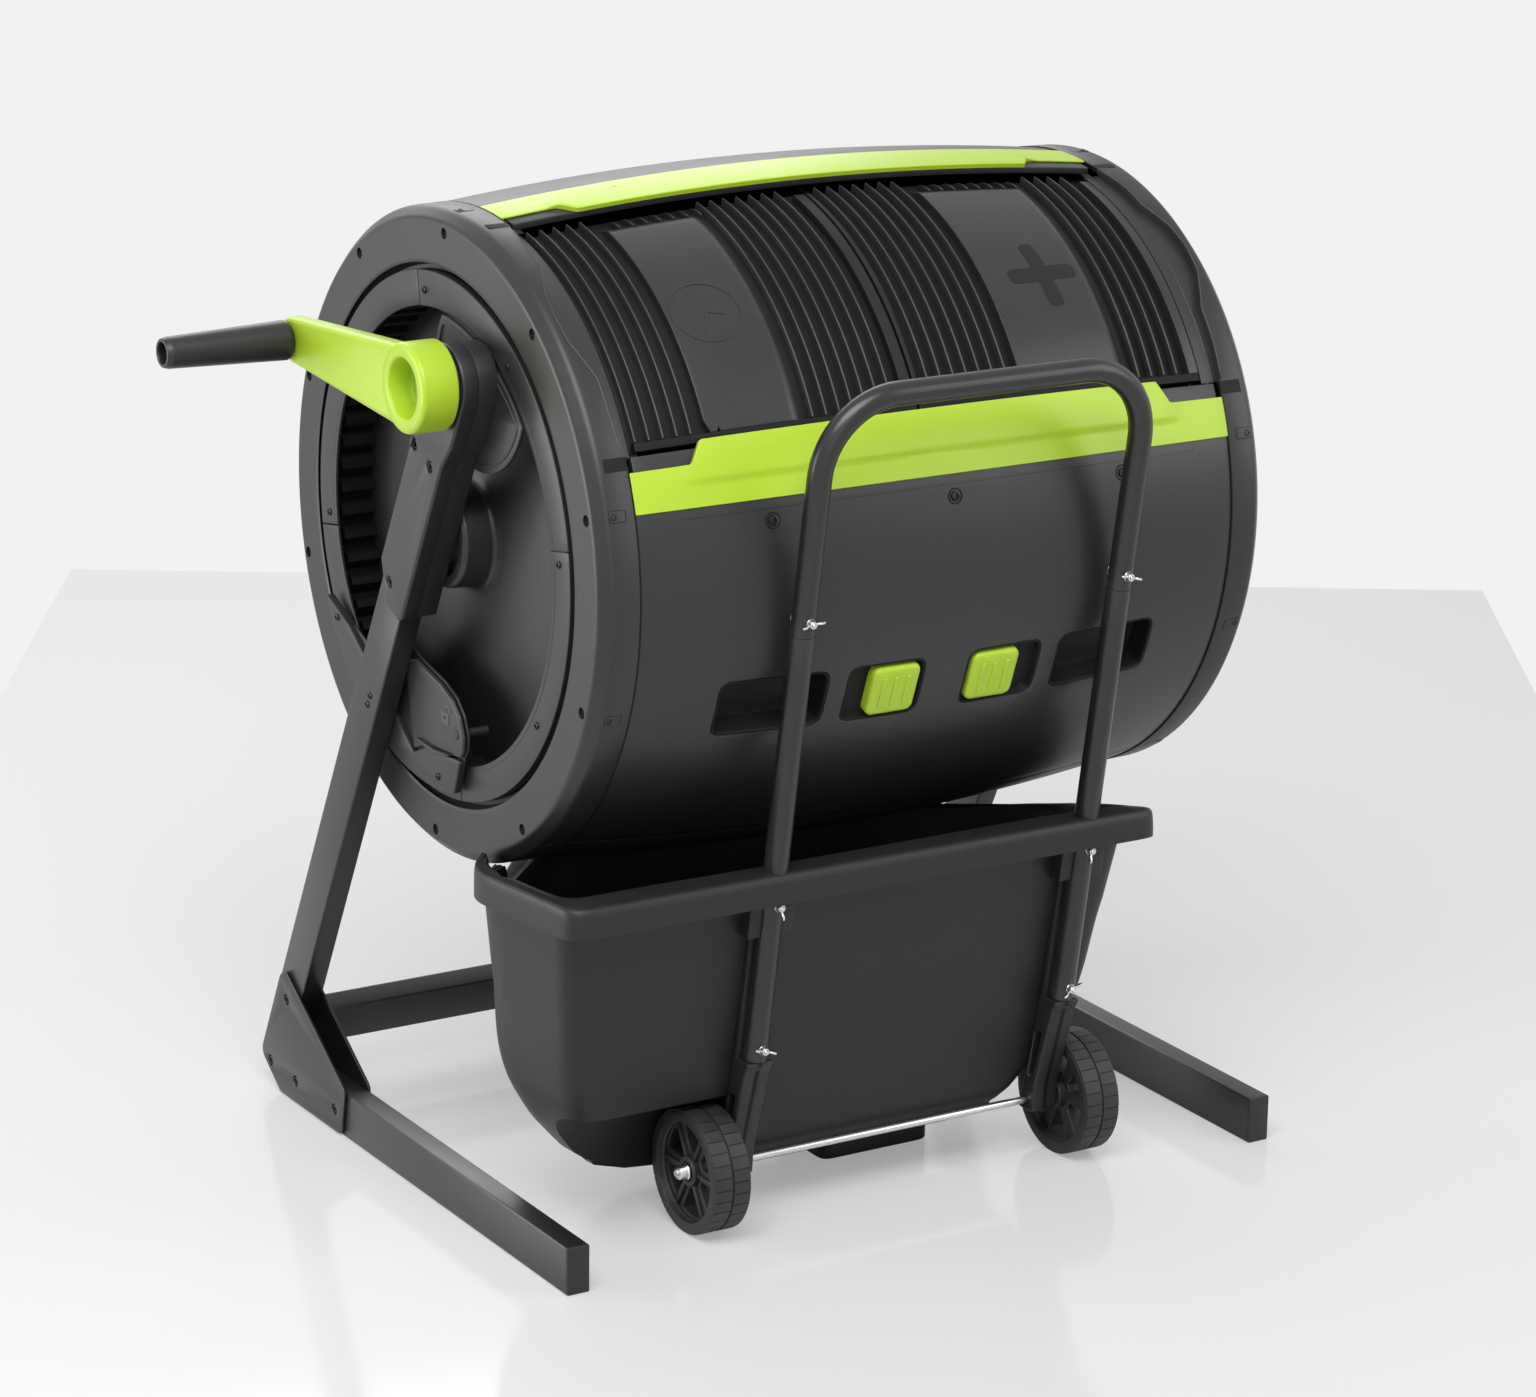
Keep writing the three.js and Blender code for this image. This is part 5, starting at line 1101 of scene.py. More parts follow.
def buildTracks():
    radius = barrel(bay["trackWeb"] - bay["flange"] / 2)
    low = radius - 18.5 - 1.5 - bay["wall"]
    high = barrel(bay["trackWeb"]) - 5.5
    w = bay["wall"]
    for side, sign in (("left", -1), ("right", 1)):
        a, b = -bay["trackWeb"], -bay["trackWeb"] + bay["flange"]
        channel = [(a, low), (b, low), (b, low + w), (a + w, low + w), (a + w, high - w + 0.6),
                   (a + 8.5, high - w + 0.6), (a + 8.5, high - 1.6), (a, high - 1.6)]
        track = sweptRing(channel, bay["start"], bay["from"], 40)
        web = sweptRing([(a, low), (b, low), (b, low + w), (a + w, low + w), (a + w, bay["plate"] - 1),
                         (a, bay["plate"] - 1)], bay["from"] - 0.5, 154.6, 40)
        fall = 6.5 if sign < 0 else 0
        plate = [(-374, bay["plate"] - 2), (-374, bay["plate"]), (-343, bay["plate"]),
                 (-339, bay["plate"] - fall * 0.25), (-335.5, bay["plate"] - fall * 0.8),
                 (-334.4, bay["plate"] - fall), (-334.4, bay["plate"] - fall - 2),
                 (-340, bay["plate"] - fall - 2)]
        if sign > 0:
            plate = plate[:2] + [(-345.5, bay["plate"]), (-345, bay["plate"] - 0.5), (-344.5, bay["plate"]),
                                 (-331.4, bay["plate"]), (-331.4, bay["plate"] - 2)]
        shells = [track, web, sweptRing(plate, bay["from"], bay["to"], 52)]
        if sign > 0:
            shells = [mirrored(shell) for shell in shells]
        piece(f"bay_border_{side}", shells, blackPlastic, "drum", [f"door_track_{side}"], 40)


buildTracks()
print("doors and tracks built")

# arms, gear guard and brake

arms = {"half": 32, "foot": -82, "lobe": 40, "lobeRight": 36, "crankUp": 200, "outer": 430, "middle": 414,
        "inner": 390, "guard": 92.5, "guardReach": 229.5, "bore": 14.9,
        "screws": ((106, 24), (106, -12), (-57, 6)),}
crankCentre = alongUpright(arms["crankUp"])


def armShape(top, lobe, inset=0.0):
    half, foot = arms["half"] - inset, arms["foot"] + inset
    corners = [(foot, 2, 4), (foot + 36, half, 5)]
    if top > lobe:
        corners += [(top - 80, half, 30), (top - 50, lobe - inset, 30)]
    corners += [(top + up, across, 0) for across, up in arc(lobe - inset, 0, 180, 32)]
    if top > lobe:
        corners += [(top - 50, inset - lobe, 30), (top - 80, -half, 30)]
    corners += [(foot + 7, -half, 3), (foot, 7 - half, 3)]
    return roundOff([alongUpright(up, across) for up, across, _ in corners],
                    [corner[2] for corner in corners], 4)


def guardShape(shrink=0.0):
    outline = []
    for y, z in circle(arms["guard"] - shrink, 96, crankCentre):
        share = min(1, (arms["guardReach"] - shrink) / hypot(y, z))
        outline.append((y * share, z * share))
    return outline


def buildArms():
    holes = [circle(5.2, 20, alongUpright(up, across)) for up, across in arms["screws"]]
    bore = circle(arms["bore"], 40, crankCentre)
    cover = plateX(armShape(arms["crankUp"], arms["lobe"]), -arms["outer"], -arms["middle"] + 4,
                   holes + [bore], 3.2, axisHeight, 3)
    floor = plateX(armShape(arms["crankUp"], arms["lobe"], 5), -arms["outer"] + 5, -arms["middle"] + 3,
                   [bore], 0.4, axisHeight)
    collar = lathe([(-431.2, 23.4), (-431.2, 34.5), (-426, 36), (-426, 23.4)], [0.8, 1.6, 0, 0], 3, 72,
                    (crankCentre[0], crankCentre[1] + axisHeight))
    piece("arm_cover_left", [cover, floor, collar], blackPlastic, "stand", ["arm_outer_left"])
    inner = plateX(armShape(arms["crankUp"], arms["lobe"], 0.5), -arms["middle"] + 0.3, -arms["inner"],
                   [bore], 1.0, axisHeight)
    guard = plateX(guardShape(), -arms["inner"] - 1, -386.6, [bore], 1.0, axisHeight)
    rib = plateX(guardShape(6), -arms["inner"] - 2.2, -388, [guardShape(8.5)], 0.7, axisHeight)
    piece("arm_back_left", [inner, guard, rib], blackPlastic, "stand", ["arm_inner_left"])
    shape = armShape(0, arms["lobeRight"])
    right = plateX(shape, arms["outer"], arms["inner"] + 11, holes[2:], 3.2, axisHeight, 3)
    floor = plateX(armShape(0, arms["lobeRight"], 5), arms["outer"] - 5, arms["inner"] + 9, (), 0.4,
                   axisHeight)
    back = plateX(armShape(0, arms["lobeRight"], 0.5), arms["inner"], arms["inner"] + 12, (), 1.0,
                  axisHeight)
    piece("arm_shell_right", [right, floor, back], blackPlastic, "stand", ["arm_housing_right"])
    for up, across in arms["screws"]:
        y, z = alongUpright(up, across)
        fasten("pan", "stand", [((-arms["outer"] + 4.2, y, z + axisHeight), (-1, 0, 0))])
        if up < 0:
            fasten("pan", "stand", [((arms["outer"] - 4.2, y, z + axisHeight), (1, 0, 0))])


buildArms()

brake = {"back": -401.2, "front": -392.2, "plate": -395.2, "turn": 296.4, "spread": 38, "outer": 258,
         "ledge": ((222, 253), (217, 272), (232, 279)),
         "crown": ((215, 250.6), (203, 249), (180, 249.4), (160, 253), (145, 261), (137.5, 271),
                   (135, 283)), "mark": (180, 259),
         "crownBack": ((225, 27), (200, 13), (156, 9), (135, 7))}
brakePivot = polar(198, 253)


def buildBrake():
    edge = arc(brake["outer"], brake["turn"] - brake["spread"], brake["turn"] + brake["spread"], 28)
    back = [polar(r, brake["turn"] + past) for r, past in brake["crownBack"]]
    front = [polar(r, a) for r, a in reversed(brake["crown"])] + [polar(*brake["ledge"][0])]
    radii = [6] + [0] * (len(edge) - 2) + [6] + [3, 8, 10, 6] + [6, 8, 14, 14, 16, 16, 8, 3]
    shield = roundOff(edge + back + front, radii, 6)
    bore = circle(6.2, 28, brakePivot)
    plate = plateX(shield, brake["plate"], brake["front"], [bore], 1.2, axisHeight)
    low = [polar(r + 2.5, a) for r, a in reversed(brake["ledge"])]
    lower = roundOff(edge + [polar(225, brake["turn"] + 27)] + low,
                     [5] + [0] * (len(edge) - 2) + [5, 4, 6, 8, 5], 5)
    base = plateX(lower, brake["back"], brake["front"] - 0.4, (), 1.6, axisHeight)
    piece("brake_shell", [plate, base], blackPlastic, "stand", ["lock_housing"])
    spots = [polar(244, brake["turn"] + turn) for turn in (-31, 31)]
    fasten("small", "stand", [((brake["back"] - 0.1, y, z + axisHeight), (-1, 0, 0)) for y, z in spots])
    points = [*brake["ledge"], (150, 291), (136.5, 283),
              *[(r + 1.2, a + 0.3) for r, a in reversed(brake["crown"][:-1])]]
    shape = roundOff([polar(r, a) for r, a in points], [4, 7, 5, 10, 3, 8, 14, 14, 16, 16, 8], 6)
    lever = plateX(shape, brake["back"] + 0.3, brake["plate"] - 0.3, (), 2.6, axisHeight, 4)
    lip = roundOff([polar(r, a) for r, a in ((219.5, 255), (216, 266), (214, 276), (218, 277), (222, 266))],
                   [2, 6, 2, 2, 6], 4)
    tab = plateX(lip, brake["back"] - 3.2, brake["plate"] - 1, (), 1.2, axisHeight)
    y, z = polar(brake["mark"][0], brake["mark"][1])
    body = plateX(roundOff(box2d(y - 8, y + 8, z - 7, z + 5), 1.5, 3), brake["back"] - 0.5,
                  brake["plate"] - 1, [circle(2.2, 16, (y, z - 1))], 0.3, axisHeight)
    loop = arc(6.4, -20, 180, 16, (y - 6, z + 7)) + arc(4.2, 180, -20, 16, (y - 6, z + 7))
    shackle = plateX(loop, brake["back"] - 0.5, brake["plate"] - 1, (), 0.3, axisHeight)
    piece("lock_mark", [body, shackle], markAndHighlightPlastic, "brake_lever")
    pivot = (brakePivot[0], brakePivot[1] + axisHeight)
    knob = lathe([(-402.2, 0), (-402.2, 4.2), (-401.4, 5), (-399, 5), (-399, 0)], [0, 0.8, 0.6, 0, 0], 4,
                  32, pivot)
    pin = turned([(-399, 0), (-399, 4.8), (-366, 4.8), (-366, 0)], 24, pivot)
    piece("brake_lever_shell", [lever, tab, pin], blackPlastic, "brake_lever", ["lock_lever"])
    piece("brake_pivot_head", [knob], innerPlastic, "brake_lever")


buildBrake()
print("arms and brake built")

# crank and grip

crank = {"front": -475, "back": -435.5, "hub": 45, "recess": 30, "recessDeep": 27, "barDeep": 21,
         "throw": 250, "tip": 23, "gripLong": 138, "gripBase": 20.5, "gripTip": 15.2, "mouth": 11,
         "mouthDeep": 24}


def buildCrank():
    f, b = crank["front"], crank["back"]
    centre = (crankCentre[0], crankCentre[1] + axisHeight)
    tip = (crankCentre[0] + crank["throw"], crankCentre[1] + axisHeight)
    profile = [(f, crank["recess"]), (f, crank["hub"]), (b, crank["hub"]), (b, crank["hub"] - 5),
               (b - 4, crank["hub"] - 5.5), (b - 4, 17), (b, 16), (b, 9.7), (f + crank["recessDeep"], 9.7),
               (f + crank["recessDeep"], 15), (f + crank["recessDeep"] - 0.8, 16),
               (f + crank["recessDeep"] - 0.8, crank["recess"] - 1.5)]
    hub = lathe(profile, [3.4, 5.5, 4, 1, 0.6, 0.6, 0.8, 0.3, 0.3, 0.5, 0.5, 4], 5, 112, centre)
    taper = degrees(asin((crank["hub"] - 3 - crank["tip"]) / crank["throw"]))
    end = (crank["throw"], 0)
    reach = 41.5
    head = arc(crank["tip"], -90 + taper, 90 - taper, 20, end)
    outline = [polar(reach, -90 + taper)] + head + [polar(reach, 90 - taper)]
    inside = arc(36, 90 - taper - 4, -90 + taper + 4, 12)
    shape = [(y + centre[0], z + centre[1]) for y, z in outline + inside]
    bar = plateX(shape, f + 0.8, f + crank["barDeep"], (), 5.0, 0, 4)
    spine = [(y + centre[0], z + centre[1]) for y, z in box2d(40, crank["throw"] - 26, -7, 7)]
    rib = plateX(roundOff(spine, 5, 4), f + crank["barDeep"] - 2, f + crank["barDeep"] + 2.6, (), 1.4)
    piece("crank_lever", [hub, bar, rib], limePlastic, "crank", ["crank_arm"], 40)
    sides = [polar(12.5, 60 * k + 12) for k in range(6)]
    head = [(y + centre[0], z + centre[1]) for y, z in sides]
    bolt = plateX(roundOff(head, 1, 2), -455, -449, (), 0.7)
    dome = lathe([(-456.4, 0), (-456.4, 6), (-454, 9.2), (-452, 9.2), (-452, 0)], [0, 3, 1, 0, 0], 4, 40,
                  centre)
    washer = lathe([(-449.3, 5), (-449.3, 14.2), (-448.2, 14.2), (-448.2, 5)], 0.4, 2, 48, centre)
    piece("crank_bolt_head", [bolt, dome, washer], zincSteel, "crank", ["crank_bolt"])
    s = f - 1
    e = s - crank["gripLong"]
    base, slim, mouth, deep = crank["gripBase"], crank["gripTip"], crank["mouth"], crank["mouthDeep"]
    profile = [(s, 6.5), (s, base - 2.2), (s - 3.5, base), (s - 16, base - 0.5), (e + 6, slim + 0.9),
               (e, slim - 0.6), (e, mouth + 0.4), (e + 2.5, mouth), (e + deep, mouth), (e + deep, 6.5)]
    grip = lathe(profile, [0.5, 2.2, 3, 4, 5, 2.4, 1.1, 1, 0.6, 0.5], 5, 72, tip)
    piece("grip_shell", [grip], gripPlastic, "grip", ["crank_grip"])
    head = e + deep - 1
    spindle = [(head - 4.4, 0), (head - 4.4, 4), (head - 3, 8.4), (head - 0.4, 9), (head, 9), (head, 6),
               (f + 14, 6), (f + 14, 0)]
    piece("spindle_rod", [lathe(spindle, [0, 2, 2, 0.3, 0.3, 0.2, 0.4, 0], 4, 40, tip)], zincSteel,
          "crank", ["grip_spindle"])


buildCrank()
print("crank built")

# vent sliders: a rounded cap with three ridges

slider = {"span": (31, 86), "half": 27.5, "low": -9.6, "ridges": (-14, 0, 14), "base": 69.5}


def sliderShell():
    x0, x1 = slider["span"]
    s = arcLength(pockets["turn"])
    half = slider["half"]
    level = barrel(slider["base"])

    def ring(grow, h):
        outline = roundOff(box2d(x0 - grow, x1 + grow, s - half - grow, s + half + grow), 9.5 + grow, 7)
        return [(x, t, h) for x, t in outline]
    rings = [ring(0, slider["low"]), ring(0, -1.6), ring(-0.5, 0.4), ring(-1.9, 1.8), ring(-4.4, 2.4),
             ring(-9, 2.5)]
    shells = [loft(rings)]
    for offset in slider["ridges"]:
        middle = (x0 + x1) / 2 + offset
        outline = roundOff(box2d(middle - 2.3, middle + 2.3, s - 17, s + 17), 2.2, 4)
        shells.append(slab(outline, 1.6, 3.9, (), 1.0, 3))
    placed = []
    for points, faces in shells:
        turn = points[:, 1] / drum["midRadius"]
        middle = s / drum["midRadius"]
        along = (turn - middle) * drum["midRadius"]
        out, side = np.array([cos(middle), sin(middle)]), np.array([-sin(middle), cos(middle)])
        flat = (level + points[:, 2])[:, None] * out + along[:, None] * side
        placed.append((np.c_[points[:, 0], flat[:, 0], flat[:, 1] + axisHeight], faces))
    return placed


def buildSliders():
    for side, turn in (("right", lambda shell: shell), ("left", mirrored)):
        piece(f"vent_cap_{side}", [turn(shell) for shell in sliderShell()], limePlastic, f"{side}_vent",
              [f"vent_slider_{side}"], 40)


buildSliders()
print("sliders built")

# cart: tub, posts, handle, wing nuts, rod and wheels

cart = {"centre": -78, "rimHeight": 397, "sweep": 360, "rimHalf": 346, "rimFront": -338.5, "rimBack": 80,
        "flange": 24, "endFlange": 11, "bow": 14, "pastDrum": 391.5, "rise": 6, "backShare": 0.5,
        "fall": 0.26, "turn": 50, "leftFall": 0.04, "ringStep": 23, "wall": 3.5, "handleHalf": 186,
        "tube": 12.6, "atAxis": -369.2, "lean": 0.165, "top": 885, "bend": 78, "joint": 648, "foot": 190,
        "wheelY": -250, "wheelRadius": 65, "wheelInner": 204, "wheelOuter": 246, "arch": 77,
        "archFrom": 198,}
tubLevels = ((45, 153, -205, -58, 0.8), (48, 185, -224, -32, 0.9), (63, 223, -236, -4, 1),
             (95, 259, -245, 20, 1), (140, 290, -257, 34, 1), (285, 321, -287.9, 48, 1))


def handleAt(z):
    return cart["atAxis"] - cart["lean"] * (z - axisHeight)


def tubOutline(half, front, back, sharp=1.0):
    steps, between = 8, 6
    middle = front + 0.44 * (back - front)
    corners = [(half, front, 45), (half + cart["bow"], middle, 60), (cart["backShare"] * half, back, 70)]
    corners += [(-x, y, radius) for x, y, radius in reversed(corners)]
    rounded = []
    for k, (x, y, radius) in enumerate(corners):
        corner = np.array([x, y])
        before = np.array(corners[k - 1][:2]) - corner
        after = np.array(corners[(k + 1) % 6][:2]) - corner
        reach = radius * sharp * 0.55
        start = corner + before / np.linalg.norm(before) * reach
        end = corner + after / np.linalg.norm(after) * reach
        for step in range(steps + 1):
            t = step / steps
            rounded.append(start * (1 - t) ** 2 + corner * 2 * t * (1 - t) + end * t * t)
    outline = []
    for k, point in enumerate(rounded):
        outline.append(point)
        if k % (steps + 1) == steps:
            beyond = rounded[(k + 1) % len(rounded)]
            count = 3 * between if k // (steps + 1) in (1, 3) else between
            outline += [point + (beyond - point) * j / (count + 1) for j in range(1, count + 1)]
    return [(x + cart["centre"], y) for x, y in outline]


def rimAt(x, y):
    beyond = min(1, max(0, (-x - drum["bodyHalf"]) / 8))
    sweep = cart["sweep"] - cart["ringStep"] * beyond
    under = min(cart["rimHeight"], axisHeight - sqrt(max(0, sweep ** 2 - min(y, 0) ** 2)))
    past = min(1, max(0, (-x - cart["pastDrum"]) / cart["rise"]))
    right = min(1, max(0, (x - cart["centre"] - cart["rimHalf"]) / cart["turn"] + 1))
    sloped = min(under, cart["rimHeight"] - cart["fall"] * (y - cart["rimFront"]))
    level = cart["rimHeight"] - cart["leftFall"] * (y - cart["rimFront"])
    return under + (level - under) * past ** 2 * (3 - 2 * past) + (sloped - under) * right


def smoothLevels():
    table = np.array(tubLevels)
    heights = table[:, 0]
    stops = np.unique(np.r_[heights, np.linspace(48, 285, 26)])
    slopes = np.gradient(table, heights, axis=0)
    rows = []
    for z in stops:
        k = min(np.searchsorted(heights, z, side="right") - 1, len(heights) - 2)
        span = heights[k + 1] - heights[k]
        t = (z - heights[k]) / span
        a, b = table[k], table[k + 1]
        if k < 1:
            rows.append(a + (b - a) * t)
            continue
        m0, m1 = slopes[k] * span, slopes[k + 1] * span
        rows.append(a * (2 * t ** 3 - 3 * t * t + 1) + m0 * (t ** 3 - 2 * t * t + t)
                    + b * (3 * t * t - 2 * t ** 3) + m1 * (t ** 3 - t * t))
        rows[-1][0] = z
    return rows


def tubBody(inset, lift, above):
    rings = []
    for z, half, front, back, sharp in smoothLevels():
        outline = tubOutline(half - inset, front + inset, back - inset, sharp)
        rings.append([(x, y, z + lift) for x, y in outline])
    half, back = cart["rimHalf"] - cart["endFlange"], cart["rimBack"] - cart["flange"]
    front = handleAt(cart["rimHeight"]) + cart["tube"] + 2.5
    top = tubOutline(half - inset, front + inset, back - inset)
    last = np.array(rings[-1])
    for share in (0.35, 0.7, 1):
        ring = []
        for (x, y), low in zip(top, last):
            place = low + (np.array([x, y, rimAt(x, y) + above]) - low) * share
            ring.append(tuple(place))
        rings.append(ring)
    return loft(rings)


def rimShell():
    section = [(0, -31), (0.0, -22), (0.03, -10), (0.07, -4.2), (0.14, -1.4), (0.24, -0.3), (0.34, 0),
               (0.98, 0), (1.08, -0.5), (1.13, -2), (1.12, -4), (0.32, -4), (0.24, -5.4), (0.2, -9),
               (0.15, -22), (0.13, -31), (0.07, -31.6)]
    front = handleAt(cart["rimHeight"]) + cart["tube"] + 2.5 - cart["rimFront"]
    rings = []
    for share, drop in section:
        outline = tubOutline(cart["rimHalf"] - share * cart["endFlange"], cart["rimFront"] + share * front,
                             cart["rimBack"] - share * cart["flange"])
        rings.append([(x, y, rimAt(x, y) + max(drop, -31)) for x, y in outline])
    return loft(rings + [rings[0]], False)


def leaningSlab(outline, low, high, edge):
    points, faces = slab(outline, low, high, (), edge, 2)
    points[:, 1] += np.array([handleAt(z) for z in points[:, 2]])
    return points, faces


def buildTub():
    y, z = cart["wheelY"], cart["wheelRadius"]
    arches = []
    for sign in (-1, 1):
        x0, x1 = cart["archFrom"], 430
        arches.append([(sign * x0, 0), (sign * x0, cart["arch"]), (sign * x1, cart["arch"]),
                       (sign * x1, 0)])

    def archSolid(profile, grow):
        sign = 1 if profile[0][0] > 0 else -1
        grown = [(x - sign * grow if abs(x) < 300 else x, r + grow if r else 0) for x, r in profile]
        return turned(grown, 72, (y, z))
    wall = cart["wall"]
    outer = without(tubBody(0, 0, -1), [archSolid(profile, 0) for profile in arches])
    room = without(tubBody(wall, wall, 30), [archSolid(profile, wall) for profile in arches])
    tub = without(outer, [room])
    shells = [tub, rimShell()]
    for sign in (-1, 1):
        notch = arc(cart["tube"] + 0.4, 197, -17, 14)
        outline = roundOff([(-26, -4), *notch, (26, -4), (26, 17.4), (-26, 17.4)],
                           [2] + [0] * len(notch) + [2, 0.6, 0.6], 3)
        shells.append(shift(leaningSlab(outline, 326, 394, 1.6), (sign * cart["handleHalf"], 0, 0)))
    block = slab(roundOff(box2d(-22, 112, -158, -62), 14, 6), 0, 52, (), 3.5, 3)
    shells.append(block)
    for x in (-200, -78, 44):
        rib = slab(roundOff(box2d(x - 3, x + 3, -196, -136), 2.5, 3), 38, 47, (), 1.5, 2)
        shells.append(rib)
    piece("tub_shell", shells, tubPlastic, "cart", ["cart_tub"], 38)


def buildFrame():
    half = cart["handleHalf"]
    for side, sign in (("left", -1), ("right", 1)):
        path = [(sign * half, handleAt(z), z) for z in np.linspace(cart["foot"], cart["joint"], 14)]
        piece(f"handle_tube_{side}", [tubeAlong(path, cart["tube"], 36, 10.9, 14)], powderSteel, "cart",
              [f"lower_tube_{side}"])
        backs = [(-232.9, 53), (-238.1, 65), (-246.1, 95), (-258.1, 140), (-268.2, 187.5)]
        foot = handleAt(cart["foot"]) - cart["tube"]
        outline = backs + [(foot, 187.5), (foot + 8, 173.5), (-265, 85), (-262, 53)]
        outline = [(min(y, -235) if z < 60 else y, z) for y, z in outline]
        shape = roundOff(outline, [3, 0, 0, 0, 2, 3, 14, 20, 5], 5)
        slot = roundOff([(-258, 92), (-251.5, 92), (-262, 146), (-274, 146)], 2.5, 3)
        bore = circle(4.4, 24, (cart["wheelY"], cart["wheelRadius"]))
        body = plateX(shape, sign * half - 15, sign * half + 15, [bore, slot], 2.2)
        web = plateX(shape, sign * half - 3, sign * half + 3, [bore], 0.5)
        plug = [(sign * half, handleAt(z), z) for z in np.linspace(180, 200, 4)]
        spine = leaningSlab(roundOff(box2d(-15.5, 15.5, 9, 16.5), 1.5, 2), 186, 330, 0.8)
        spine = shift(spine, (sign * half, 0, 0))
        piece(f"post_shell_{side}", [body, web, spine, tubeAlong(plug, 10.6, 28)], innerPlastic, "cart",
              [f"post_{side}"])
        fasten("small", "cart", [((sign * half, -283.4, 160), (0, -0.95, -0.3))])
    start, bend, top = cart["joint"] + 0.4, cart["bend"], cart["top"]
    path = [(-half, z) for z in np.linspace(start, top - bend, 9)]
    path += [(-half + bend * (1 - cos(t)), top - bend * (1 - sin(t)))
             for t in np.linspace(0, pi / 2, 17)[1:]]
    path += [(x, top) for x in np.linspace(-half + bend, 0, 7)[1:]]
    path += [(-x, z) for x, z in reversed(path[:-1])]
    bar = tubeAlong([(x, handleAt(z), z) for x, z in path], cart["tube"] - 0.25, 36, 10.9, 6)
    piece("push_bar_tube", [bar], powderSteel, "cart", ["push_bar"])
    spigots = [tubeAlong([(sign * half, handleAt(z), z) for z in np.linspace(612, 654, 3)], 10.8, 28)
               for sign in (-1, 1)]
    piece("push_bar_spigots", spigots, powderSteel, "cart")


def facingFront(shell, x, y, z):
    points, faces = shell
    return np.c_[points[:, 1] + x, y - points[:, 0], points[:, 2] + z], [face[::-1] for face in faces]


def wingNut(x, z, reach, turn):
    y = handleAt(z) - cart["tube"] - 0.2
    hub = [(0, 0), (0, 6.4), (1.4, 6.8), (2.2, 6.2), (8, 4.8), (9, 4), (9, 2.9), (7.4, 2.7), (7.4, 0)]
    thread = [(0, 0), (0, 2.6), (9.4, 2.6), (10, 2), (10, 0)]
    shells = [lathe(hub, [0, 0.5, 0.8, 1, 0.8, 0.6, 0.4, 0.4, 0], 3, 32), turned(thread, 20)]
    ear = roundOff([(1.0, -3.4), (7, -3.2), (13, -0.6), (16.4, 4.4), (15.2, 9.0), (10.6, 9.4), (7, 5.4),
                    (1.0, 3.4)], [1, 4, 4, 4, 3, 3, 4, 1], 4)
    for sign in (1, -1):
        points, faces = slab(ear, -1.35, 1.35, (), 0.9, 3)
        lifted = np.c_[3.0 + points[:, 1] * 0.62 + np.abs(points[:, 0]) * 0.12,
                       sign * points[:, 0], points[:, 2]]
        a = radians(turn)
        spun = np.c_[lifted[:, 0], lifted[:, 1] * cos(a) - lifted[:, 2] * sin(a),
                     lifted[:, 1] * sin(a) + lifted[:, 2] * cos(a)]
        shells.append((spun, faces))
    placed = [facingFront((points * 0.8, faces), x, y, z) for points, faces in shells]
    if reach:
        rod = lathe([(0.5, 0), (0.5, 2.9), (-reach, 2.9), (-reach, 7), (-reach - 2.2, 5.4),
                               (-reach - 3.2, 0)], [0, 0, 0.3, 0.6, 2.4, 0], 3, 32)
        placed.append(facingFront(rod, x, y, z))
    return placed


def buildWingNuts():
    for side, sign, turn in (("left", -1, 8), ("right", 1, -14)):
        x = sign * cart["handleHalf"]
        piece(f"wing_nut_{side}", wingNut(x, 662, 2 * cart["tube"] + 0.6, turn), zincSteel, "cart",
              [f"wing_bolt_{side}"], 36)
        lower = wingNut(x, 361, 0, 90 + turn) + wingNut(x, 202, 2 * cart["tube"] + 0.6, -turn * 2)
        piece(f"lower_wing_nuts_{side}", lower, zincSteel, "cart", (), 36)


def treadOutline(shift):
    count = 32
    outline = []
    for k in range(count):
        middle = 360 / count * (k + shift)
        for turn, r in ((-5.3, 63.9), (-5.0, 64.9), (5.0, 64.9), (5.3, 63.9)):
            outline.append(polar(r, middle + turn, (cart["wheelY"], cart["wheelRadius"])))
    return outline


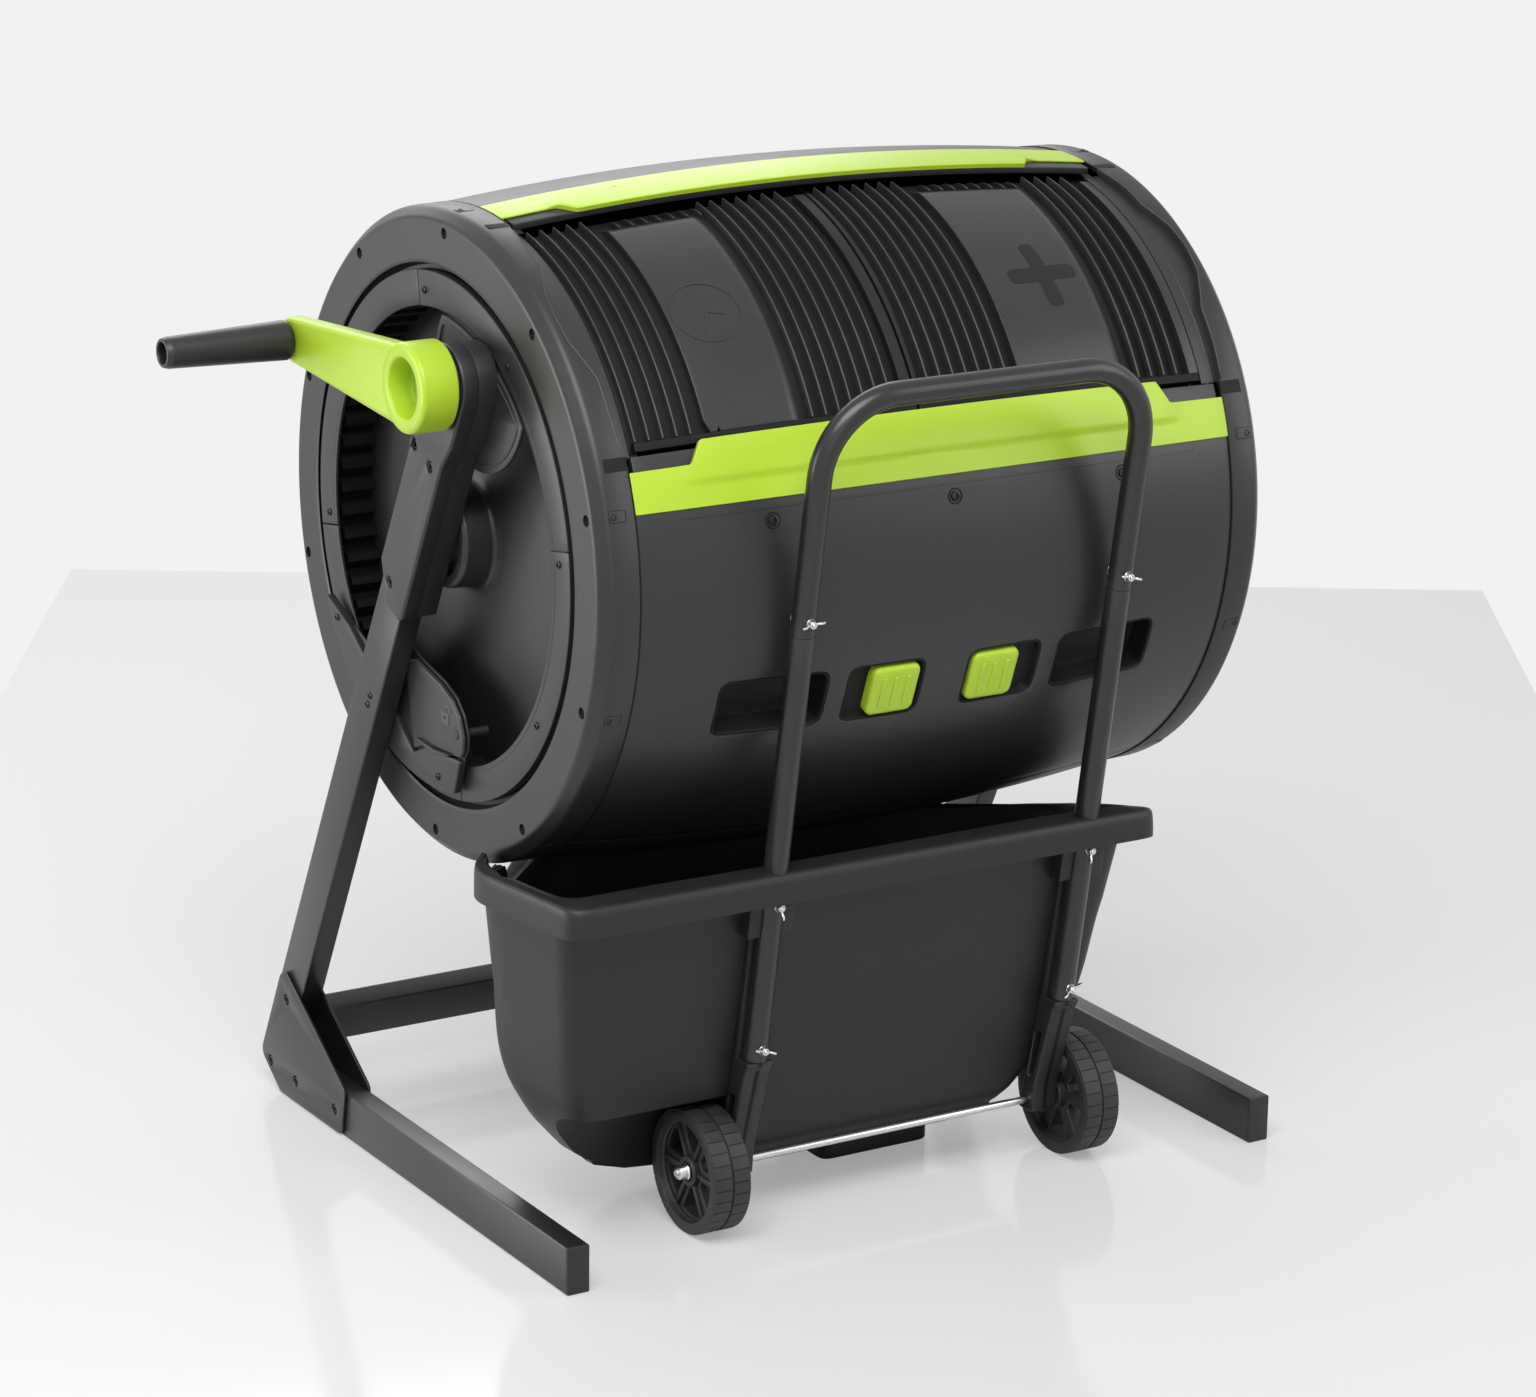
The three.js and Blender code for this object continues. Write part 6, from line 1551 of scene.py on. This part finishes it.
def buildWheels():
    a, b = cart["wheelInner"], cart["wheelOuter"]
    centre = (cart["wheelY"], cart["wheelRadius"])
    tyre = roundOff([(a, 52.5), (a, 61.6), (a + 2, 63.2), (b - 2, 63.2), (b, 61.6), (b, 52.5),
                     (b - 5, 51.5), (b - 7, 50), (a + 7, 50), (a + 5, 51.5)],
                    [0.8, 1.5, 1.5, 1.5, 1.5, 0.8, 0.6, 0.6, 0.6, 0.6], 3)
    hub = [(a, 4.4), (a, 15), (b - 4, 16), (b - 4, 11), (b - 5.5, 10), (b - 5.5, 4.4)]
    windows = []
    for k in range(6):
        middle = 60 * k + 30
        windows.append(roundOff(arc(49, middle - 20, middle + 20, 10, centre)
                                + arc(20.5, middle + 11, middle - 11, 3, centre), 2.4, 2))
    shells = [turned(tyre, 96, centre), lathe(hub, [0.4, 1.4, 1.6, 0.5, 0.5, 0.3], 3, 56, centre),
              plateX(circle(51.6, 72, centre), a + 9, b - 10, windows, 1.4)]
    for k in range(6):
        y, z = polar(1, 60 * k)
        spine = [(y * r - z * w, z * r + y * w)
                 for r, w in ((14, -2.2), (50.5, -1.6), (50.5, 1.6), (14, 2.2))]
        spine = [(p + centre[0], q + centre[1]) for p, q in spine]
        shells.append(plateX(spine, b - 12, b - 6.5, (), 0.8))
    for low, high, shift in ((a + 0.8, (a + b) / 2 - 1, 0), ((a + b) / 2 + 1, b - 0.8, 0.5)):
        shells.append(plateX(treadOutline(shift), low, high, [circle(58, 64, centre)], 0.6))
    for side, turn in (("right", lambda shell: shell), ("left", mirrored)):
        piece(f"wheel_shell_{side}", [turn(shell) for shell in shells], wheelPlastic, f"{side}_wheel",
              [f"wheel_{side}"], 36)
    rod = lathe([(-255, 0), (-255, 3.4), (-254.4, 4), (254.4, 4), (255, 3.4), (255, 0)], 0.2, 2, 28, centre)
    nut = lathe([(242.4, 4), (242.4, 9.6), (243.6, 9.6), (245, 8.8), (252, 7), (254.6, 4), (254.9, 0),
                           (253, 0), (252.5, 3)], [0.3, 0.4, 0.4, 0.8, 3, 2, 0, 0, 0], 4, 40, centre)
    piece("rod_and_nuts", [rod, nut, mirrored(nut)], zincSteel, "cart", ["wheel_rod"])


buildTub()
buildFrame()
buildWingNuts()
buildWheels()
print("cart built")

# stage: a glossy white plate on white, soft light, the camera

stage = {"far": 2200, "near": 2600, "left": -1057, "right": 1076, "thick": 30}
cameraPlace = {"azimuth": -31.535, "elevation": 16.479, "roll": 0.865, "distance": 5135.4,
               "aim": (-0.67, 0, 463.2), "lens": 36 * 4881.33 / 1536}


def cameraAxes():
    az, el, roll = (radians(cameraPlace[key]) for key in ("azimuth", "elevation", "roll"))
    back = np.array([sin(az) * cos(el), -cos(az) * cos(el), sin(el)])
    right = np.array([cos(az), sin(az), 0])
    up = np.cross(back, right)
    return cos(roll) * right + sin(roll) * up, cos(roll) * up - sin(roll) * right, back


def buildCamera():
    right, up, back = cameraAxes()
    data = bpy.data.cameras.new("camera")
    data.lens = cameraPlace["lens"]
    data.sensor_width = 36
    data.clip_start, data.clip_end = 0.1, 100
    made = linked("camera", data)
    at = (np.array(cameraPlace["aim"]) + back * cameraPlace["distance"]) / 1000 + origin
    rows = [[*row, place] for row, place in zip(np.c_[right, up, back], at)]
    made.matrix_world = Matrix(rows + [[0, 0, 0, 1]])
    bpy.context.scene.camera = made


def paleFinish(name, colour, roughness, glow):
    made = Finish(name, "stage")
    sheen = made.noise(0.8, 2, 0.5)
    shader = made.node("ShaderNodeBsdfPrincipled", None, {
        "Base Color": (*colour, 1), "Roughness": roughness + (sheen - 0.5) * 0.03,
        "Specular IOR Level": 0.5})
    seen = made.node("ShaderNodeLightPath", out="Is Camera Ray")
    light = made.node("ShaderNodeEmission", None, {"Color": (*colour, 1), "Strength": 1.0})
    mixed = made.node("ShaderNodeMixShader", None, [seen * glow, shader, light])
    made.node("ShaderNodeOutputMaterial", None, {"Surface": mixed})
    return made.material


def buildStage():
    az = radians(cameraPlace["azimuth"])
    across, away = np.array([cos(az), sin(az), 0]), np.array([-sin(az), cos(az), 0])
    corners = [across * x + away * y for x, y in (
        (stage["left"], -stage["near"]), (stage["right"], -stage["near"]),
        (stage["right"], stage["far"]), (stage["left"], stage["far"]))]
    rings = [[tuple(c + np.array([0, 0, z])) for c in corners] for z in (-stage["thick"] - 0.5, -0.5)]
    floor = plainObject("floorPlate", loft(rings), 0.001, tuple(origin))
    floor.data.materials.append(paleFinish("paleFloor", (0.84, 0.84, 0.846), 0.1, 0.36))
    world = bpy.data.worlds.new("world")
    bpy.context.scene.world = world
    world.use_nodes = True
    world.node_tree.nodes.clear()
    graph = Graph(world.node_tree)
    path = world.node_tree.nodes.new("ShaderNodeLightPath")
    camera, glossy = Wire(graph, path.outputs["Is Camera Ray"]), Wire(graph, path.outputs["Is Glossy Ray"])
    shown = graph.node("ShaderNodeMath", {"operation": "MAXIMUM"}, [camera, glossy * 0.9])
    strength = 0.27 + 0.64 * shown
    paint = graph.node("ShaderNodeBackground", None, {"Color": (0.97, 0.972, 0.98, 1), "Strength": strength})
    graph.node("ShaderNodeOutputWorld", None, {"Surface": paint})
    lamps = (
        ("keyLamp", (-1.3, -1.7, 3.1), 2.6, 1.8, 92), ("fillLamp", (2.6, -2.4, 2.0), 2.2, 2.2, 34),
        ("rimLamp", (0.6, 2.8, 2.4), 2.8, 1.4, 40), ("sideLamp", (-2.7, 1.3, 0.7), 2.0, 1.2, 46),
        ("frontLamp", (-1.6, -3.6, 1.4), 2.0, 2.0, 8))
    for name, place, wide, tall, power in lamps:
        light = bpy.data.lights.new(name, "AREA")
        light.shape = "RECTANGLE"
        light.size, light.size_y, light.energy = wide, tall, power
        made = linked(name, light)
        made.location = place
        made.rotation_mode = "QUATERNION"
        made.rotation_quaternion = (Vector(place) - Vector((0.09, 0.03, 0.6))).to_track_quat("Z", "Y")


setFasteners()
print("fasteners set")

# the ring gear takes the painted-shade finish
carried = {"ring_gear": paintedShadePlastic, "pinion_shaft": innerPlastic, "divider": innerPlastic,
           "crank_bush": innerPlastic, "axle_left": zincSteel, "axle_right": zincSteel,
           "hub_bush_left": innerPlastic, "hub_bush_right": innerPlastic, "grip_spindle": zincSteel,
           "crank_bolt": zincSteel}
for name, finish in carried.items():
    if name in nodes:
        nodes[name].data.materials.clear()
        nodes[name].data.materials.append(finish)

buildCamera()
buildStage()
bpy.context.scene.view_settings.view_transform = "Standard"
print("stage built")
